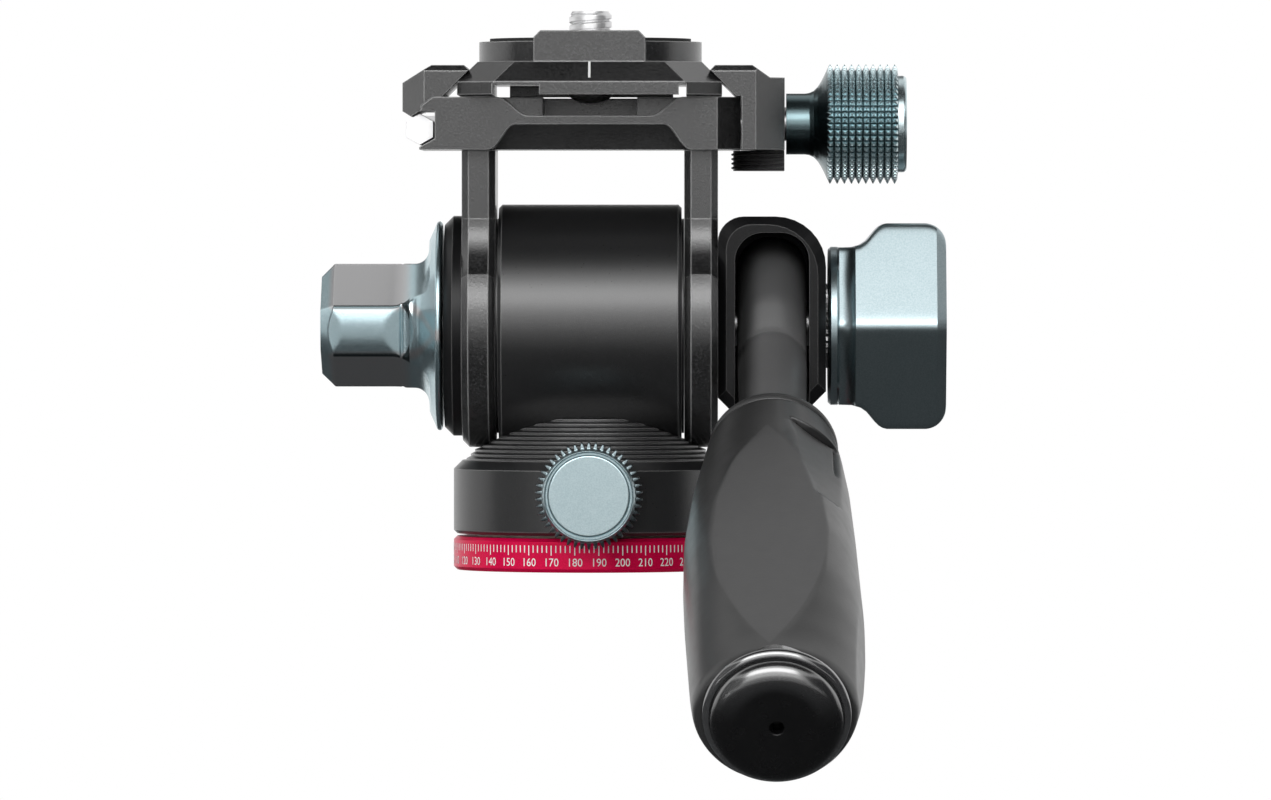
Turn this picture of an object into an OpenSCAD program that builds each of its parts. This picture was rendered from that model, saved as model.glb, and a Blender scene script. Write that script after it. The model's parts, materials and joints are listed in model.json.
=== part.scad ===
// Fluid video head with a plate clamp, a pan base and a folding handle.
// Origin: mouth of the tripod thread, at the bottom centre of the base. Millimetres, +Z up.
// The tilt axis runs along X, and the handle reaches towards -Y.

/* [Fits] */
// Radial clearance of shafts that turn or slide in a bore
run_fit = 0.05; // [0.03:0.01:0.09]
// Clearance of pieces that are screwed or pressed together
seat = 0.02; // [0.01:0.01:0.05]
// Gap between faces that move past each other
gap = 0.3; // [0.2:0.05:0.4]
// Small chamfer on machined edges
edge = 0.5; // [0.3:0.1:0.8]

/* [Base and pan] */
// Radius of the degree ring and of the pan body
base_r = 20.4; // [19.6:0.1:23]
// Height of the degree ring
ring_h = 5; // [4:0.1:7]
// Radial wall of the degree ring
ring_wall = 3.4; // [2.6:0.1:4.6]
// Radial wall between the spindle and the outside of the drum
drum_wall = 10.4; // [9.8:0.1:10.8]
// Height of the pan spindle above the base plate
spindle_h = 8.8; // [8.4:0.1:9.2]
// Depth of the groove that the retaining screws run in
groove_depth = 1.2; // [1:0.1:1.6]
// Wall radius of the tapped tripod hole
tripod_r = 4; // [3.9:0.05:4.1]
// Depth of the tapped tripod hole
tripod_depth = 10; // [8:0.1:11]
// Thickness of the thrust washer
washer_t = 0.4; // [0.3:0.05:0.6]
// Height of the pan body's straight drum with its shoulder
drum_h = 10.9; // [10.2:0.1:12]
// Shoulder chamfer on top of the drum
shoulder = 1.3; // [0.8:0.1:1.8]
// Radius of the lowest ridge of the cone
ridge_r = 18.5; // [17.6:0.1:18.7]
// Number of ridges on the cone
ridge_count = 12; // [9:1:13]
// Rise from ridge to ridge
ridge_rise = 0.66; // [0.56:0.02:0.72]
// Inward step from ridge to ridge
ridge_step = 0.63; // [0.55:0.02:0.7]

/* [Pan lock] */
// Height of the pan lock above the base
pan_lock_z = 11.5; // [11:0.1:12]
// Tip radius of the pan knob's teeth
pan_knob_r = 7.9; // [7:0.1:8.4]
// Depth of the pan knob's teeth
pan_tooth = 0.8; // [0.5:0.1:1]
// Number of teeth on the pan knob
pan_teeth = 46; // [30:1:52]
// Thickness of the pan knob
pan_knob_t = 8; // [6:0.1:10]
// Radius of the pan knob's face
pan_face_r = 6; // [5:0.1:6.2]
// Radius of the pan lock's stud
pan_stud_r = 2.5; // [2:0.1:2.8]

/* [Tilt drum] */
// Height of the tilt axis above the base
tilt_z = 36.3; // [36:0.1:38]
// Radius of the tilt barrel and of the cheek discs
barrel_r = 18.1; // [17.6:0.1:18.6]
// Half length of the tilt barrel
barrel_half = 13.6; // [12.6:0.1:15]
// Radius of the tilt axle
axle_r = 6; // [5:0.1:6.6]
// Radius of the axle bushes
bush_r = 9; // [8:0.1:10]
// Length of each axle bush
bush_l = 4; // [3:0.1:5]
// Radius of the bushes' flanges, which run against the side plates
bush_flange_r = 16; // [14:0.1:17]

/* [Yoke] */
// Gap between the barrel and each cheek
cheek_gap = 0.4; // [0.3:0.05:0.6]
// Thickness of the cheeks
cheek_t = 5; // [4.6:0.1:6]
// Half width of a cheek's arm from front to back
arm_half = 12; // [11:0.1:13]
// Radius of the hollow between arm and disc
arm_fillet = 10; // [8:0.1:12]
// Chamfer round the cheeks
cheek_edge = 1; // [0.6:0.1:1.2]
// Radius of the drag cover
cover_r = 16.4; // [15:0.1:17]
// Thickness of the drag cover
cover_t = 2.7; // [2.4:0.1:3.4]

/* [Tilt lock] */
// Radius of the tilt knob's flange
tilt_flange_r = 15.6; // [14:0.1:16]
// Thickness of the tilt knob's flange
tilt_flange_t = 1.1; // [0.9:0.1:1.6]
// Length of the tilt knob from its flange to its end
tilt_knob_l = 17; // [15:0.1:20]
// Radius of the tilt knob's bar
tilt_bar_r = 9.3; // [8.6:0.1:10.2]
// Distance of the bar's three flats from the tilt axis
tilt_flat = 7.5; // [6.8:0.1:8]
// Turn of the tilt knob at rest
tilt_knob_turn = 5; // [-30:1:30]
// Radius of the tilt lock's stud
tilt_stud_r = 3; // [2.5:0.1:3.4]

/* [Handle block] */
// Width of the handle block
block_w = 16; // [15.6:0.1:17]
// Depth of the handle block's slot from front to back
block_d = 27; // [25:0.1:29]
// Top of the handle block above the tilt axis
block_up = 16.3; // [16:0.1:18]
// Bottom of the handle block below the tilt axis
block_down = 12.6; // [11:0.1:14]
// Width of the slot in the handle block
slot_w = 11; // [10.8:0.1:11.6]
// Radius of the slot's upper corners
slot_corner = 4.2; // [3:0.1:4.6]

/* [Handle] */
// Angle of the handle below the horizontal
handle_drop = 25.5; // [10:0.5:40]
// Radius of the handle's eye
eye_r = 13.5; // [12.6:0.1:13.6]
// Thickness of the handle's eye
eye_t = 10.3; // [9.8:0.1:10.4]
// Radius of the handle rod
rod_r = 5; // [4.6:0.1:5.1]
// Distance from the tilt axis to the grip
grip_start = 44; // [40:0.5:50]
// Length of the grip
grip_l = 77; // [70:0.5:80]
// Largest radius of the grip
grip_r = 12.9; // [12.3:0.1:13.6]
// Radius of the grip at its neck
grip_neck_r = 9.5; // [8.8:0.1:9.8]
// Radius of the grip at its outer end
grip_end_r = 11.4; // [11.1:0.1:11.9]
// Distance of the top flat from the grip's axis, at the neck
grip_flat = 9.2; // [9:0.1:9.8]
// Radius of the ring between grip and cap
cap_ring_r = 11; // [10.2:0.1:11.1]
// Radius of the end cap
cap_r = 9.8; // [8.5:0.1:10]
// Length of the end cap
cap_l = 3.6; // [3.4:0.1:5]

/* [Handle lock] */
// Half height of the handle knob's six-sided body
knob_half_h = 15.3; // [14.6:0.1:16.5]
// Half depth of the handle knob, from corner to corner
knob_half_d = 14.2; // [13.4:0.1:15.6]
// Half depth of the handle knob's upper and lower flat
knob_flat_half = 7.4; // [6.4:0.1:8]
// Radius of the handle knob's collar
collar_r = 11.8; // [11:0.1:12.4]
// Length of the handle knob's collar
collar_l = 1.5; // [1.2:0.1:2]
// Length of the handle knob
knob_l = 17.5; // [16:0.1:20]
// Radius of the handle lock screw
lock_screw_r = 3; // [2.5:0.1:3.2]

/* [Plate clamp] */
// Underside of the clamp body above the tilt axis
clamp_rise = 26.2; // [25.8:0.1:28]
// Height of the clamp body
clamp_h = 7.8; // [7.6:0.1:9]
// Half depth of the clamp from front to back
clamp_half = 15; // [14:0.1:17]
// Right end of the clamp body
clamp_right = 22.4; // [21.6:0.1:23]
// Height of the jaws above the clamp body
jaw_h = 4.7; // [4.4:0.1:5.2]
// Length of the moving jaw's body along X
jaw_l = 6.4; // [6:0.1:8]
// Height of the clamp screw above the underside of the clamp body
screw_up = 3.9; // [3.7:0.1:4.2]
// Radius of the clamp screw
clamp_screw_r = 2.5; // [2:0.1:2.6]
// Radius of the jaw's guide pins
guide_r = 1.5; // [1.2:0.1:1.7]
// Distance of each guide pin from the clamp screw
guide_off = 9.2; // [9:0.1:9.6]
// Radius of the clamp knob over its knurl
clamp_knob_r = 8.95; // [8:0.05:9.4]
// Length of the knurl on the clamp knob
knurl_l = 11.2; // [8:0.1:13]
// Number of rings in the clamp knob's knurl
knurl_rings = 10; // [6:1:12]
// Depth of the clamp knob's knurl
knurl_depth = 0.7; // [0.4:0.1:0.8]

/* [Safety catch] */
// Height of the safety catch below the moving jaw
catch_h = 3; // [2.4:0.1:4]
// Length of the safety catch along X
catch_l = 7.9; // [7:0.1:9]
// Number of ribs on the safety catch
catch_ribs = 4; // [2:1:5]
// Radius of the safety catch's pins
catch_pin_r = 1.2; // [1:0.1:1.4]

/* [Quick-release plate] */
// Width of the plate's dovetail
dovetail_w = 39.2; // [38.8:0.1:39.6]
// Height of the straight edge under the dovetail
dovetail_foot = 1.9; // [1.6:0.1:2.2]
// Height of the dovetail's 45 degree slope
dovetail_slope = 3; // [2.8:0.1:3.2]
// Height of the plate's round body above the dovetail
plate_body_h = 3.1; // [2.6:0.1:4]
// Half length of the plate from front to back
plate_half = 20.5; // [20:0.1:23]
// Width of the plate's front lip
lip_w = 16.5; // [14:0.1:20]
// Height of the front lip above the plate
lip_h = 1.5; // [1.2:0.1:2.4]
// Height of the rubber pads above the plate
pad_h = 0.5; // [0.4:0.1:0.8]
// Radius of the camera screw's thread
camera_r = 3.175; // [3.1:0.025:3.2]
// Height of the camera screw above the plate
camera_up = 4.6; // [4:0.1:5.5]
// Radius of the camera screw's head
camera_head_r = 6; // [5:0.1:7]

/* [Hex key] */
// Distance from flat to flat of the stored key
key_flats = 4; // [3.6:0.1:4.1]
// Length of the key's long arm
key_l = 27; // [24:0.5:29]
// Length of the key's short arm
key_short = 13; // [10:0.5:16]

/* [Hidden] */
$fn = 96;
eps = 0.01;
black = "#2b2b2e";
steel_blue = "#9fb6bb";
silver = "#d0d0d0";
crimson = "#c0103c";
rubber = "#1c1c1c";

// Base and pan levels
spindle_r = base_r - drum_wall;
plate_seat_r = base_r - ring_wall - seat;
spindle_top = ring_h + spindle_h;
pan_z = ring_h + washer_t;
drum_top = pan_z + drum_h;
retainer_up = 2.6;
retainer_z = pan_z + retainer_up;
retainer_r = 1.5;
groove_half = retainer_r + gap;
spindle_bore = spindle_r + run_fit;
spindle_roof = spindle_top + gap;
barrel_screw_x = 0.65 * spindle_r;
barrel_screw_r = 2;
barrel_screw_head_r = 3.2;
barrel_screw_head_h = 2;
barrel_screw_end = tilt_z - axle_r - 2 * barrel_screw_r;
shoe_r = pan_stud_r + 0.2;
shoe_l = 3;

// Tilt levels along X
cheek_in = barrel_half + cheek_gap;
cheek_out = cheek_in + cheek_t;
cover_out = cheek_out + cover_t;
tilt_knob_in = cover_out + gap;
block_in = cheek_out + seat;
block_out = block_in + block_w;
slot_mid = (block_in + block_out) / 2;
serration_t = 0.35;
knob_in = block_out + serration_t + 2 * seat;

// Clamp levels
clamp_z = tilt_z + clamp_rise;
clamp_top = clamp_z + clamp_h;
jaw_top = clamp_top + jaw_h;
screw_z = clamp_z + screw_up;
plate_z = clamp_top + gap;
slope_z = plate_z + dovetail_foot;
body_z = slope_z + dovetail_slope;
plate_top = body_z + plate_body_h;
dovetail_half = dovetail_w / 2;
body_half = dovetail_half - dovetail_slope;
jaw_in = clamp_right + 2 * run_fit;
jaw_out = jaw_in + jaw_l;
knob_neck_in = jaw_out + gap;

// Stored key, seen from the front with a corner upwards
key_x = -25.2;
key_up = 3;
key_z = clamp_z + key_up;
key_corner = key_flats / 2 / cos(30);
key_slope = tan(30);
key_clear = gap / cos(30);
notch_right = key_x + key_flats / 2 + gap;
roof_left = key_x + gap;
roof_z = key_z + key_corner + 1.5 * gap;

// Points of an arc about [cx, cy], from angle a0 to a1 in n steps
function arc(cx, cy, r, a0, a1, n = 8) =
    [for (i = [0:n]) let (a = a0 + (a1 - a0) * i / n) [cx + r * cos(a), cy + r * sin(a)]];

// Turned profile with its X places mirrored
function flipped_x(points) = [for (p = points) [p[0], -p[1]]];

// Solid turned about the tilt axis from [radius, x] points
module turned_x(points) {
    translate([0, 0, tilt_z])
        rotate([0, 90, 0])
            rotate_extrude()
                polygon(points);
}

// Cylinder along X from x0 to x1
module rod_x(x0, x1, r, y = 0, z = tilt_z) {
    translate([x0, y, z])
        rotate([0, 90, 0])
            cylinder(h = x1 - x0, r = r);
}

// Cylinder towards -Y from y0 out to y1, at the height of the pan lock
module pan_lock_rod(y0, y1, r) {
    translate([0, -y0, pan_lock_z])
        rotate([90, 0, 0])
            cylinder(h = y1 - y0, r = r);
}

// Upright cylinder from z0 to z1
module post(x, y, z0, z1, r) {
    translate([x, y, z0])
        cylinder(h = z1 - z0, r = r);
}

// Outline in X and Z carried along Y from y0 to y1
module along_y(y0, y1) {
    translate([0, y1, 0])
        rotate([90, 0, 0])
            linear_extrude(height = y1 - y0)
                children();
}

// Outline in Y and Z carried along X from x0 to x1
module along_x(x0, x1) {
    translate([x0, 0, 0])
        rotate([90, 0, 90])
            linear_extrude(height = x1 - x0)
                children();
}

// Base: a turned disc with the pan spindle, tapped from below
module base_plate() {
    color(black)
        rotate_extrude()
            polygon([
                [0, tripod_depth], [tripod_r, tripod_depth], [tripod_r, 0],
                [plate_seat_r, 0], [plate_seat_r, ring_h], [spindle_r, ring_h],
                [spindle_r, retainer_z - groove_half], [spindle_r - groove_depth, retainer_z - groove_half],
                [spindle_r - groove_depth, retainer_z + groove_half], [spindle_r, retainer_z + groove_half],
                [spindle_r, spindle_top], [0, spindle_top]
            ]);
}

// Degree ring pressed on the base plate
module scale_ring() {
    color(crimson)
        rotate_extrude()
            polygon([
                [base_r - ring_wall, 0], [base_r - edge, 0], [base_r, edge], [base_r, ring_h - edge],
                [base_r - edge, ring_h], [base_r - ring_wall, ring_h]
            ]);
}

// Slippery washer between base and pan body
module thrust_washer() {
    color("ivory")
        translate([0, 0, ring_h])
            difference() {
                cylinder(h = washer_t - seat, r = plate_seat_r);
                translate([0, 0, -eps])
                    cylinder(h = washer_t, r = spindle_bore);
            }
}

// Places of the retaining screws, on the rear half of the drum
retainer_angles = [30, 90, 150];

module retainer_rods(r0, r1, r) {
    for (a = retainer_angles)
        rotate([0, 0, a])
            rod_x(r0, r1, r, 0, retainer_z);
}

// Screws from the drum's inner roof up into the barrel
module barrel_screw_set(clear) {
    head_top = spindle_roof + barrel_screw_head_h;
    for (s = [-1, 1]) {
        post(s * barrel_screw_x, 0, spindle_roof, head_top + clear, barrel_screw_head_r + clear);
        post(s * barrel_screw_x, 0, head_top, barrel_screw_end + clear, barrel_screw_r + clear);
    }
}

// Drum that turns on the base, with its ridged cone and the saddle of the barrel
module pan_body() {
    ledge = 0.15;
    flat_share = 0.4;
    ridges = [for (i = [0:ridge_count - 1])
        let (r = ridge_r - i * ridge_step, z = drum_top + i * ridge_rise)
        each [[r, z], [r, z + flat_share * ridge_rise], [r - ridge_step - ledge, z + ridge_rise]]];
    cone_top = drum_top + ridge_count * ridge_rise;
    color(black)
        difference() {
            rotate_extrude()
                polygon(concat(
                    [[spindle_bore, pan_z], [base_r - edge, pan_z], [base_r, pan_z + edge],
                        [base_r, drum_top - shoulder], [base_r - shoulder, drum_top]],
                    ridges,
                    [[0, cone_top], [0, spindle_roof], [spindle_bore, spindle_roof]]));
            rod_x(-barrel_half - cheek_gap / 2, barrel_half + cheek_gap / 2, barrel_r + seat);
            for (s = [-1, 1])
                rod_x(min(s * barrel_half, s * 2 * base_r), max(s * barrel_half, s * 2 * base_r), barrel_r + gap);
            pan_lock_rod(0, spindle_r + shoe_l + gap, shoe_r + run_fit);
            pan_lock_rod(spindle_r, base_r + 1, pan_stud_r + run_fit);
            retainer_rods(spindle_r - 1, base_r + 1, retainer_r + seat);
            translate([0, 0, -eps])
                barrel_screw_set(seat);
        }
}

module pan_retainers() {
    color("dimgray")
        retainer_rods(spindle_r - groove_depth + gap, base_r - ring_wall, retainer_r);
}

// Pad with a hollow face that grips the spindle
module brake_shoe() {
    color("tan")
        difference() {
            pan_lock_rod(spindle_r - 1, spindle_r + shoe_l, shoe_r);
            cylinder(h = tilt_z, r = spindle_bore);
        }
}

module pan_lock_stud() {
    color(silver)
        pan_lock_rod(spindle_r + shoe_l + run_fit, base_r + gap + pan_knob_t / 2, pan_stud_r);
}

// Toothed knob with a raised rim, a turned groove and a plain face
module pan_knob() {
    knob_y = base_r + gap;
    groove_w = 0.35;
    face_drop = 0.5;
    tooth_points = [for (i = [0:4 * pan_teeth - 1])
        let (a = 90 * i / pan_teeth, r = pan_knob_r - (i % 4 < 2 ? 0 : pan_tooth))
        [r * cos(a), r * sin(a)]];
    color(steel_blue)
        translate([0, -knob_y, pan_lock_z])
            rotate([90, 0, 0])
                difference() {
                    union() {
                        cylinder(h = 1.6, r = pan_face_r);
                        translate([0, 0, 1.2])
                            linear_extrude(height = pan_knob_t - 1.2 - face_drop)
                                polygon(tooth_points);
                        cylinder(h = pan_knob_t, r = pan_knob_r - pan_tooth - 0.2);
                    }
                    translate([0, 0, pan_knob_t - face_drop])
                        difference() {
                            cylinder(h = 1, r = pan_face_r + groove_w);
                            translate([0, 0, -eps])
                                cylinder(h = 2, r = pan_face_r);
                        }
                    translate([0, 0, -eps])
                        cylinder(h = pan_knob_t / 2 + eps, r = pan_stud_r + seat);
                }
}

// Drag drum on the tilt axis
module tilt_barrel() {
    bore = axle_r + gap;
    shoulder_x = barrel_half - bush_l;
    color(black)
        difference() {
            turned_x([
                [bore, -shoulder_x], [bush_r + seat, -shoulder_x], [bush_r + seat, -barrel_half],
                [barrel_r - edge, -barrel_half], [barrel_r, -barrel_half + edge],
                [barrel_r, barrel_half - edge], [barrel_r - edge, barrel_half],
                [bush_r + seat, barrel_half], [bush_r + seat, shoulder_x], [bore, shoulder_x]
            ]);
            barrel_screw_set(seat);
        }
}

module barrel_screws() {
    color(silver)
        barrel_screw_set(0);
}

module tilt_bushes() {
    color("peru")
        for (s = [-1, 1])
            difference() {
                x0 = barrel_half - bush_l + seat;
                x1 = barrel_half + seat;
                x2 = cheek_in - 2 * seat;
                union() {
                    rod_x(s < 0 ? -x2 : x0, s < 0 ? -x0 : x2, bush_r);
                    rod_x(s < 0 ? -x2 : x1, s < 0 ? -x1 : x2, bush_flange_r);
                }
                rod_x(-2 * barrel_half, 2 * barrel_half, axle_r + run_fit);
            }
}

// Axle of the yoke, drilled at both ends for the two lock screws
axle_bore_l = 5;

module tilt_axle() {
    color(silver)
        difference() {
            rod_x(-cheek_out, cheek_out, axle_r);
            rod_x(-cheek_out - 1, -cheek_out + axle_bore_l, tilt_stud_r + run_fit);
            rod_x(cheek_out - axle_bore_l, cheek_out + 1, lock_screw_r + run_fit);
        }
}

// Side plate on the right: a disc on the tilt axis, with an arm that stands up to the clamp
module cheek_plate() {
    hollow_sink = 1.5;
    arm_out = arm_half + arm_fillet;
    hollow_h = sqrt(pow(barrel_r + arm_fillet, 2) - pow(arm_out, 2)) - hollow_sink;
    tangent = barrel_r / (barrel_r + arm_fillet);
    side = [[cheek_in, cheek_edge - arm_half], [cheek_in + cheek_edge, -arm_half],
        [cheek_out - cheek_edge, -arm_half], [cheek_out, cheek_edge - arm_half]];
    difference() {
        union() {
            turned_x([
                [0, cheek_in], [barrel_r - cheek_edge, cheek_in], [barrel_r, cheek_in + cheek_edge],
                [barrel_r, cheek_out - cheek_edge], [barrel_r - cheek_edge, cheek_out], [0, cheek_out]
            ]);
            translate([0, 0, tilt_z]) {
                linear_extrude(height = clamp_rise - seat)
                    polygon(concat(side, [for (i = [3:-1:0]) [side[i][0], -side[i][1]]]));
                along_x(cheek_in, cheek_out)
                    polygon([[-arm_out * tangent, hollow_h * tangent], [arm_out * tangent, hollow_h * tangent],
                        [arm_half, hollow_h], [-arm_half, hollow_h]]);
            }
        }
        for (s = [-1, 1])
            translate([cheek_in, s * (arm_out + seat), tilt_z + hollow_h])
                rotate([0, 90, 0])
                    rotate_extrude()
                        polygon([
                            [0, -1], [arm_fillet + cheek_edge + 1, -1], [arm_fillet, cheek_edge],
                            [arm_fillet, cheek_t - cheek_edge], [arm_fillet + cheek_edge + 1, cheek_t + 1],
                            [0, cheek_t + 1]
                        ]);
        rod_x(0, 2 * cheek_out, axle_r + seat);
        arm_screw_set(seat);
    }
}

// Screws from the clamp bed down into the arms
arm_screw_y = 6;
arm_screw_r = 1.25;
arm_screw_head_r = 1.9;
arm_screw_head_h = 2;
arm_screw_l = 9;

module arm_screw_set(clear) {
    head_z = clamp_top - arm_screw_head_h - gap;
    for (sx = [-1, 1], sy = [-1, 1]) {
        x = sx * (cheek_in + cheek_out) / 2;
        post(x, sy * arm_screw_y, head_z, head_z + arm_screw_head_h + (clear > 0 ? 2 : 0), arm_screw_head_r + clear);
        post(x, sy * arm_screw_y, clamp_z - arm_screw_l, head_z + eps, arm_screw_r + clear);
    }
}

module arm_screws() {
    color(silver)
        arm_screw_set(0);
}

module right_cheek() {
    color(black)
        difference() {
            cheek_plate();
            block_screw_set(seat);
        }
}

module left_cheek() {
    color(black)
        difference() {
            mirror([1, 0, 0])
                cheek_plate();
            cover_screw_set(seat);
        }
}

// Cap over the drag unit, outside the left cheek
module drag_cover() {
    bevel = 1.3;
    bore = tilt_stud_r + run_fit;
    face = -cheek_out - seat;
    color(black)
        difference() {
            turned_x([
                [bore, face], [cover_r, face], [cover_r, bevel - cover_out], [cover_r - bevel, -cover_out],
                [bore, -cover_out]
            ]);
            cover_screw_set(seat);
        }
}

// Screws of the drag cover, under the knob's flange
cover_screw_ring = 11;
cover_screw_r = 1.2;
cover_screw_head_r = 2.2;
cover_screw_l = 5;

module cover_screw_set(clear) {
    head = cover_out - 1.2;
    for (a = [90, 210, 330]) {
        y = cover_screw_ring * cos(a);
        z = tilt_z + cover_screw_ring * sin(a);
        rod_x(-cover_out + (clear > 0 ? -1 : 0.1), -head + clear, cover_screw_head_r + clear, y, z);
        rod_x(-head, -cover_out + cover_screw_l + clear, cover_screw_r + clear, y, z);
    }
}

module cover_screws() {
    color(silver)
        cover_screw_set(0);
}

stud_in_knob = 6;

module tilt_lock_stud() {
    color(silver)
        rod_x(-tilt_knob_in - tilt_flange_t - stud_in_knob, -cheek_out + axle_bore_l - gap, tilt_stud_r);
}

// Milled flat along the tilt knob's bar, hollow towards the flange
module knob_flat(x0, x1, hollow) {
    reach = 2 * tilt_flange_r;
    translate([0, 0, -reach])
        linear_extrude(height = 2 * reach)
            polygon(concat(
                [[x0, -tilt_flat]],
                arc(x1 - hollow, -tilt_flat - hollow, hollow, 90, 0),
                [[x1, -reach], [x0, -reach]]));
}

// Knob turned with a flange, a hollow flare and a bar, with three milled flats
module tilt_knob() {
    chamfer = 2;
    rim_step = 0.7;
    flare_r = 2.2;
    flat_hollow = 4.4;
    rim = tilt_flange_t / 2;
    flange_out = tilt_knob_in + tilt_flange_t;
    flare_in = flange_out + rim_step;
    knob_out = flange_out + tilt_knob_l;
    color(steel_blue)
        difference() {
            turned_x(flipped_x(concat(
                [[0, tilt_knob_in]],
                arc(tilt_flange_r - rim, tilt_knob_in + rim, rim, -90, 60),
                arc(tilt_bar_r + flare_r, flare_in + flare_r, flare_r, 270, 180),
                [[tilt_bar_r, knob_out - chamfer], [tilt_bar_r - chamfer, knob_out], [0, knob_out]])));
            for (a = [60, 180, 300])
                translate([0, 0, tilt_z])
                    rotate([tilt_knob_turn + a, 0, 0])
                        knob_flat(-knob_out - 1, -flare_in, flat_hollow);
            rod_x(-flange_out - stud_in_knob - gap, 0, tilt_stud_r + seat);
        }
}

// Clevis for the handle, open to the front and below, screwed to the right cheek
slot_top = eye_r + 4 * gap / 3;
back_wall = 2.2;

module block_outline(inset) {
    left_r = 3.8;
    right_r = 7.5;
    low_left = 2;
    low_right = 3;
    x0 = block_in + inset;
    x1 = block_out - inset;
    z0 = tilt_z - block_down + inset;
    z1 = tilt_z + block_up - inset;
    polygon(concat(
        [[x0 + low_left, z0], [x1 - low_right, z0], [x1, z0 + low_right]],
        arc(x1 - right_r, z1 - right_r, right_r, 0, 90),
        arc(x0 + left_r, z1 - left_r, left_r, 90, 180),
        [[x0, z0 + low_left]]));
}

module handle_block() {
    bevel = 1.2;
    front = block_d / 2;
    back = slot_top + back_wall;
    x0 = slot_mid - slot_w / 2;
    x1 = slot_mid + slot_w / 2;
    z1 = tilt_z + slot_top;
    color(black)
        difference() {
            hull() {
                along_y(bevel - front, back - bevel)
                    block_outline(0);
                along_y(-front, back)
                    block_outline(bevel);
            }
            along_y(-block_d, slot_top)
                polygon(concat(
                    [[x0, tilt_z - 2 * block_down], [x1, tilt_z - 2 * block_down]],
                    arc(x1 - slot_corner, z1 - slot_corner, slot_corner, 0, 90),
                    arc(x0 + slot_corner, z1 - slot_corner, slot_corner, 90, 180)));
            rod_x(0, 2 * block_out, lock_screw_r + run_fit);
            block_screw_set(seat);
        }
}

// Screws of the handle block, behind the handle's eye
block_screw_ring = 9.5;
block_screw_r = 1.25;
block_screw_head_r = 2.3;
block_screw_head_h = 1.2;
block_screw_l = 4;

module block_screw_set(clear) {
    wall = slot_mid - slot_w / 2;
    head = wall - gap - block_screw_head_h;
    for (a = [90, 210, 330]) {
        y = block_screw_ring * cos(a);
        z = tilt_z + block_screw_ring * sin(a);
        rod_x(head - clear, wall + (clear > 0 ? 1 : -gap), block_screw_head_r + clear, y, z);
        rod_x(head - block_screw_l - clear, head, block_screw_r + clear, y, z);
    }
}

module block_screws() {
    color(silver)
        block_screw_set(0);
}

// Frame of the handle: Z runs out along the handle, Y points to its upper side
module on_handle(distance) {
    translate([slot_mid, 0, tilt_z])
        rotate([90 + handle_drop, 0, 0])
            translate([0, 0, distance])
                children();
}

// Rod with a round-edged eye on the tilt axis
rod_end_gap = 4;

module handle_rod() {
    rim = eye_t / 2;
    rod_end = grip_start + grip_l - rod_end_gap;
    color(black)
        difference() {
            union() {
                translate([slot_mid, 0, tilt_z])
                    rotate([0, 90, 0])
                        rotate_extrude() {
                            translate([0, -rim])
                                square([eye_r - rim, eye_t]);
                            translate([eye_r - rim, 0])
                                circle(r = rim);
                        }
                on_handle(eye_r / 2)
                    cylinder(h = rod_end - eye_r / 2, r = rod_r);
            }
            rod_x(0, 2 * block_out, lock_screw_r + run_fit);
        }
}

// Ring with a round rim at the grip's neck
collar_ring_l = 3;

module grip_collar() {
    rim = 1.1;
    color(rubber)
        on_handle(grip_start - collar_ring_l)
            rotate_extrude()
                polygon(concat(
                    [[rod_r + seat, 0]],
                    arc(grip_neck_r - rim, rim, rim, -90, 90),
                    [[grip_neck_r - rim, collar_ring_l - seat], [rod_r + seat, collar_ring_l - seat]]));
}

// Radius of the grip at a share u of its length
grip_peak = 0.6;
function grip_radius(u) = u < grip_peak
    ? grip_neck_r + (grip_r - grip_neck_r) * sin(90 * u / grip_peak)
    : grip_end_r + (grip_r - grip_end_r) * cos(90 * (u - grip_peak) / (1 - grip_peak));

// Swelling grip with a long flat on top, a shorter one on its right and a thumb hollow
module grip() {
    steps = 20;
    flat_rise = 1.7;
    side_flat = 11.9;
    thumb_r = 8;
    thumb_depth = 1.5;
    thumb_z = 10;
    thumb_angle = 50;
    thumb_out = grip_radius(thumb_z / grip_l) + thumb_r - thumb_depth;
    color(rubber)
        on_handle(grip_start)
            difference() {
                rotate_extrude()
                    polygon(concat(
                        [[rod_r + seat, 0]],
                        [for (i = [0:steps]) [grip_radius(i / steps), grip_l * i / steps]],
                        [[rod_r + seat, grip_l]]));
                translate([-2 * grip_r, grip_flat, -1])
                    rotate([-flat_rise, 0, 0])
                        cube([4 * grip_r, grip_r, 2 * grip_l]);
                translate([side_flat, -grip_r, grip_l / 4])
                    cube([grip_r, 2 * grip_r, grip_l]);
                rotate([0, 0, thumb_angle])
                    translate([thumb_out, 0, thumb_z])
                        sphere(r = thumb_r);
            }
}

cap_ring_l = 3.4;

module cap_ring() {
    rim = 1;
    color(rubber)
        on_handle(grip_start + grip_l + seat)
            rotate_extrude()
                polygon(concat(
                    [[0, 0], [cap_ring_r, 0]],
                    arc(cap_ring_r - rim, cap_ring_l - rim, rim, 0, 90),
                    [[0, cap_ring_l]]));
}

// Glossy end cap with a round edge and a small hole
module end_cap() {
    round_r = 1.4;
    hole_r = 1;
    hole_l = 3;
    color("#101012")
        on_handle(grip_start + grip_l + cap_ring_l + 2 * seat)
            rotate_extrude()
                polygon(concat(
                    [[0, 0], [cap_r - edge, 0], [cap_r - edge, edge], [cap_r, 2 * edge]],
                    arc(cap_r - round_r, cap_l - round_r, round_r, 0, 90),
                    [[hole_r, cap_l], [hole_r, cap_l - hole_l], [0, cap_l - hole_l]]));
}

// Outline with each corner cut off at a distance along its sides
function cut_corners(points, cut) =
    let (n = len(points))
    [for (i = [0:n - 1], j = [n - 1, 1])
        let (p = points[i], q = points[(i + j) % n]) p + cut * (q - p) / norm(q - p)];

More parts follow.
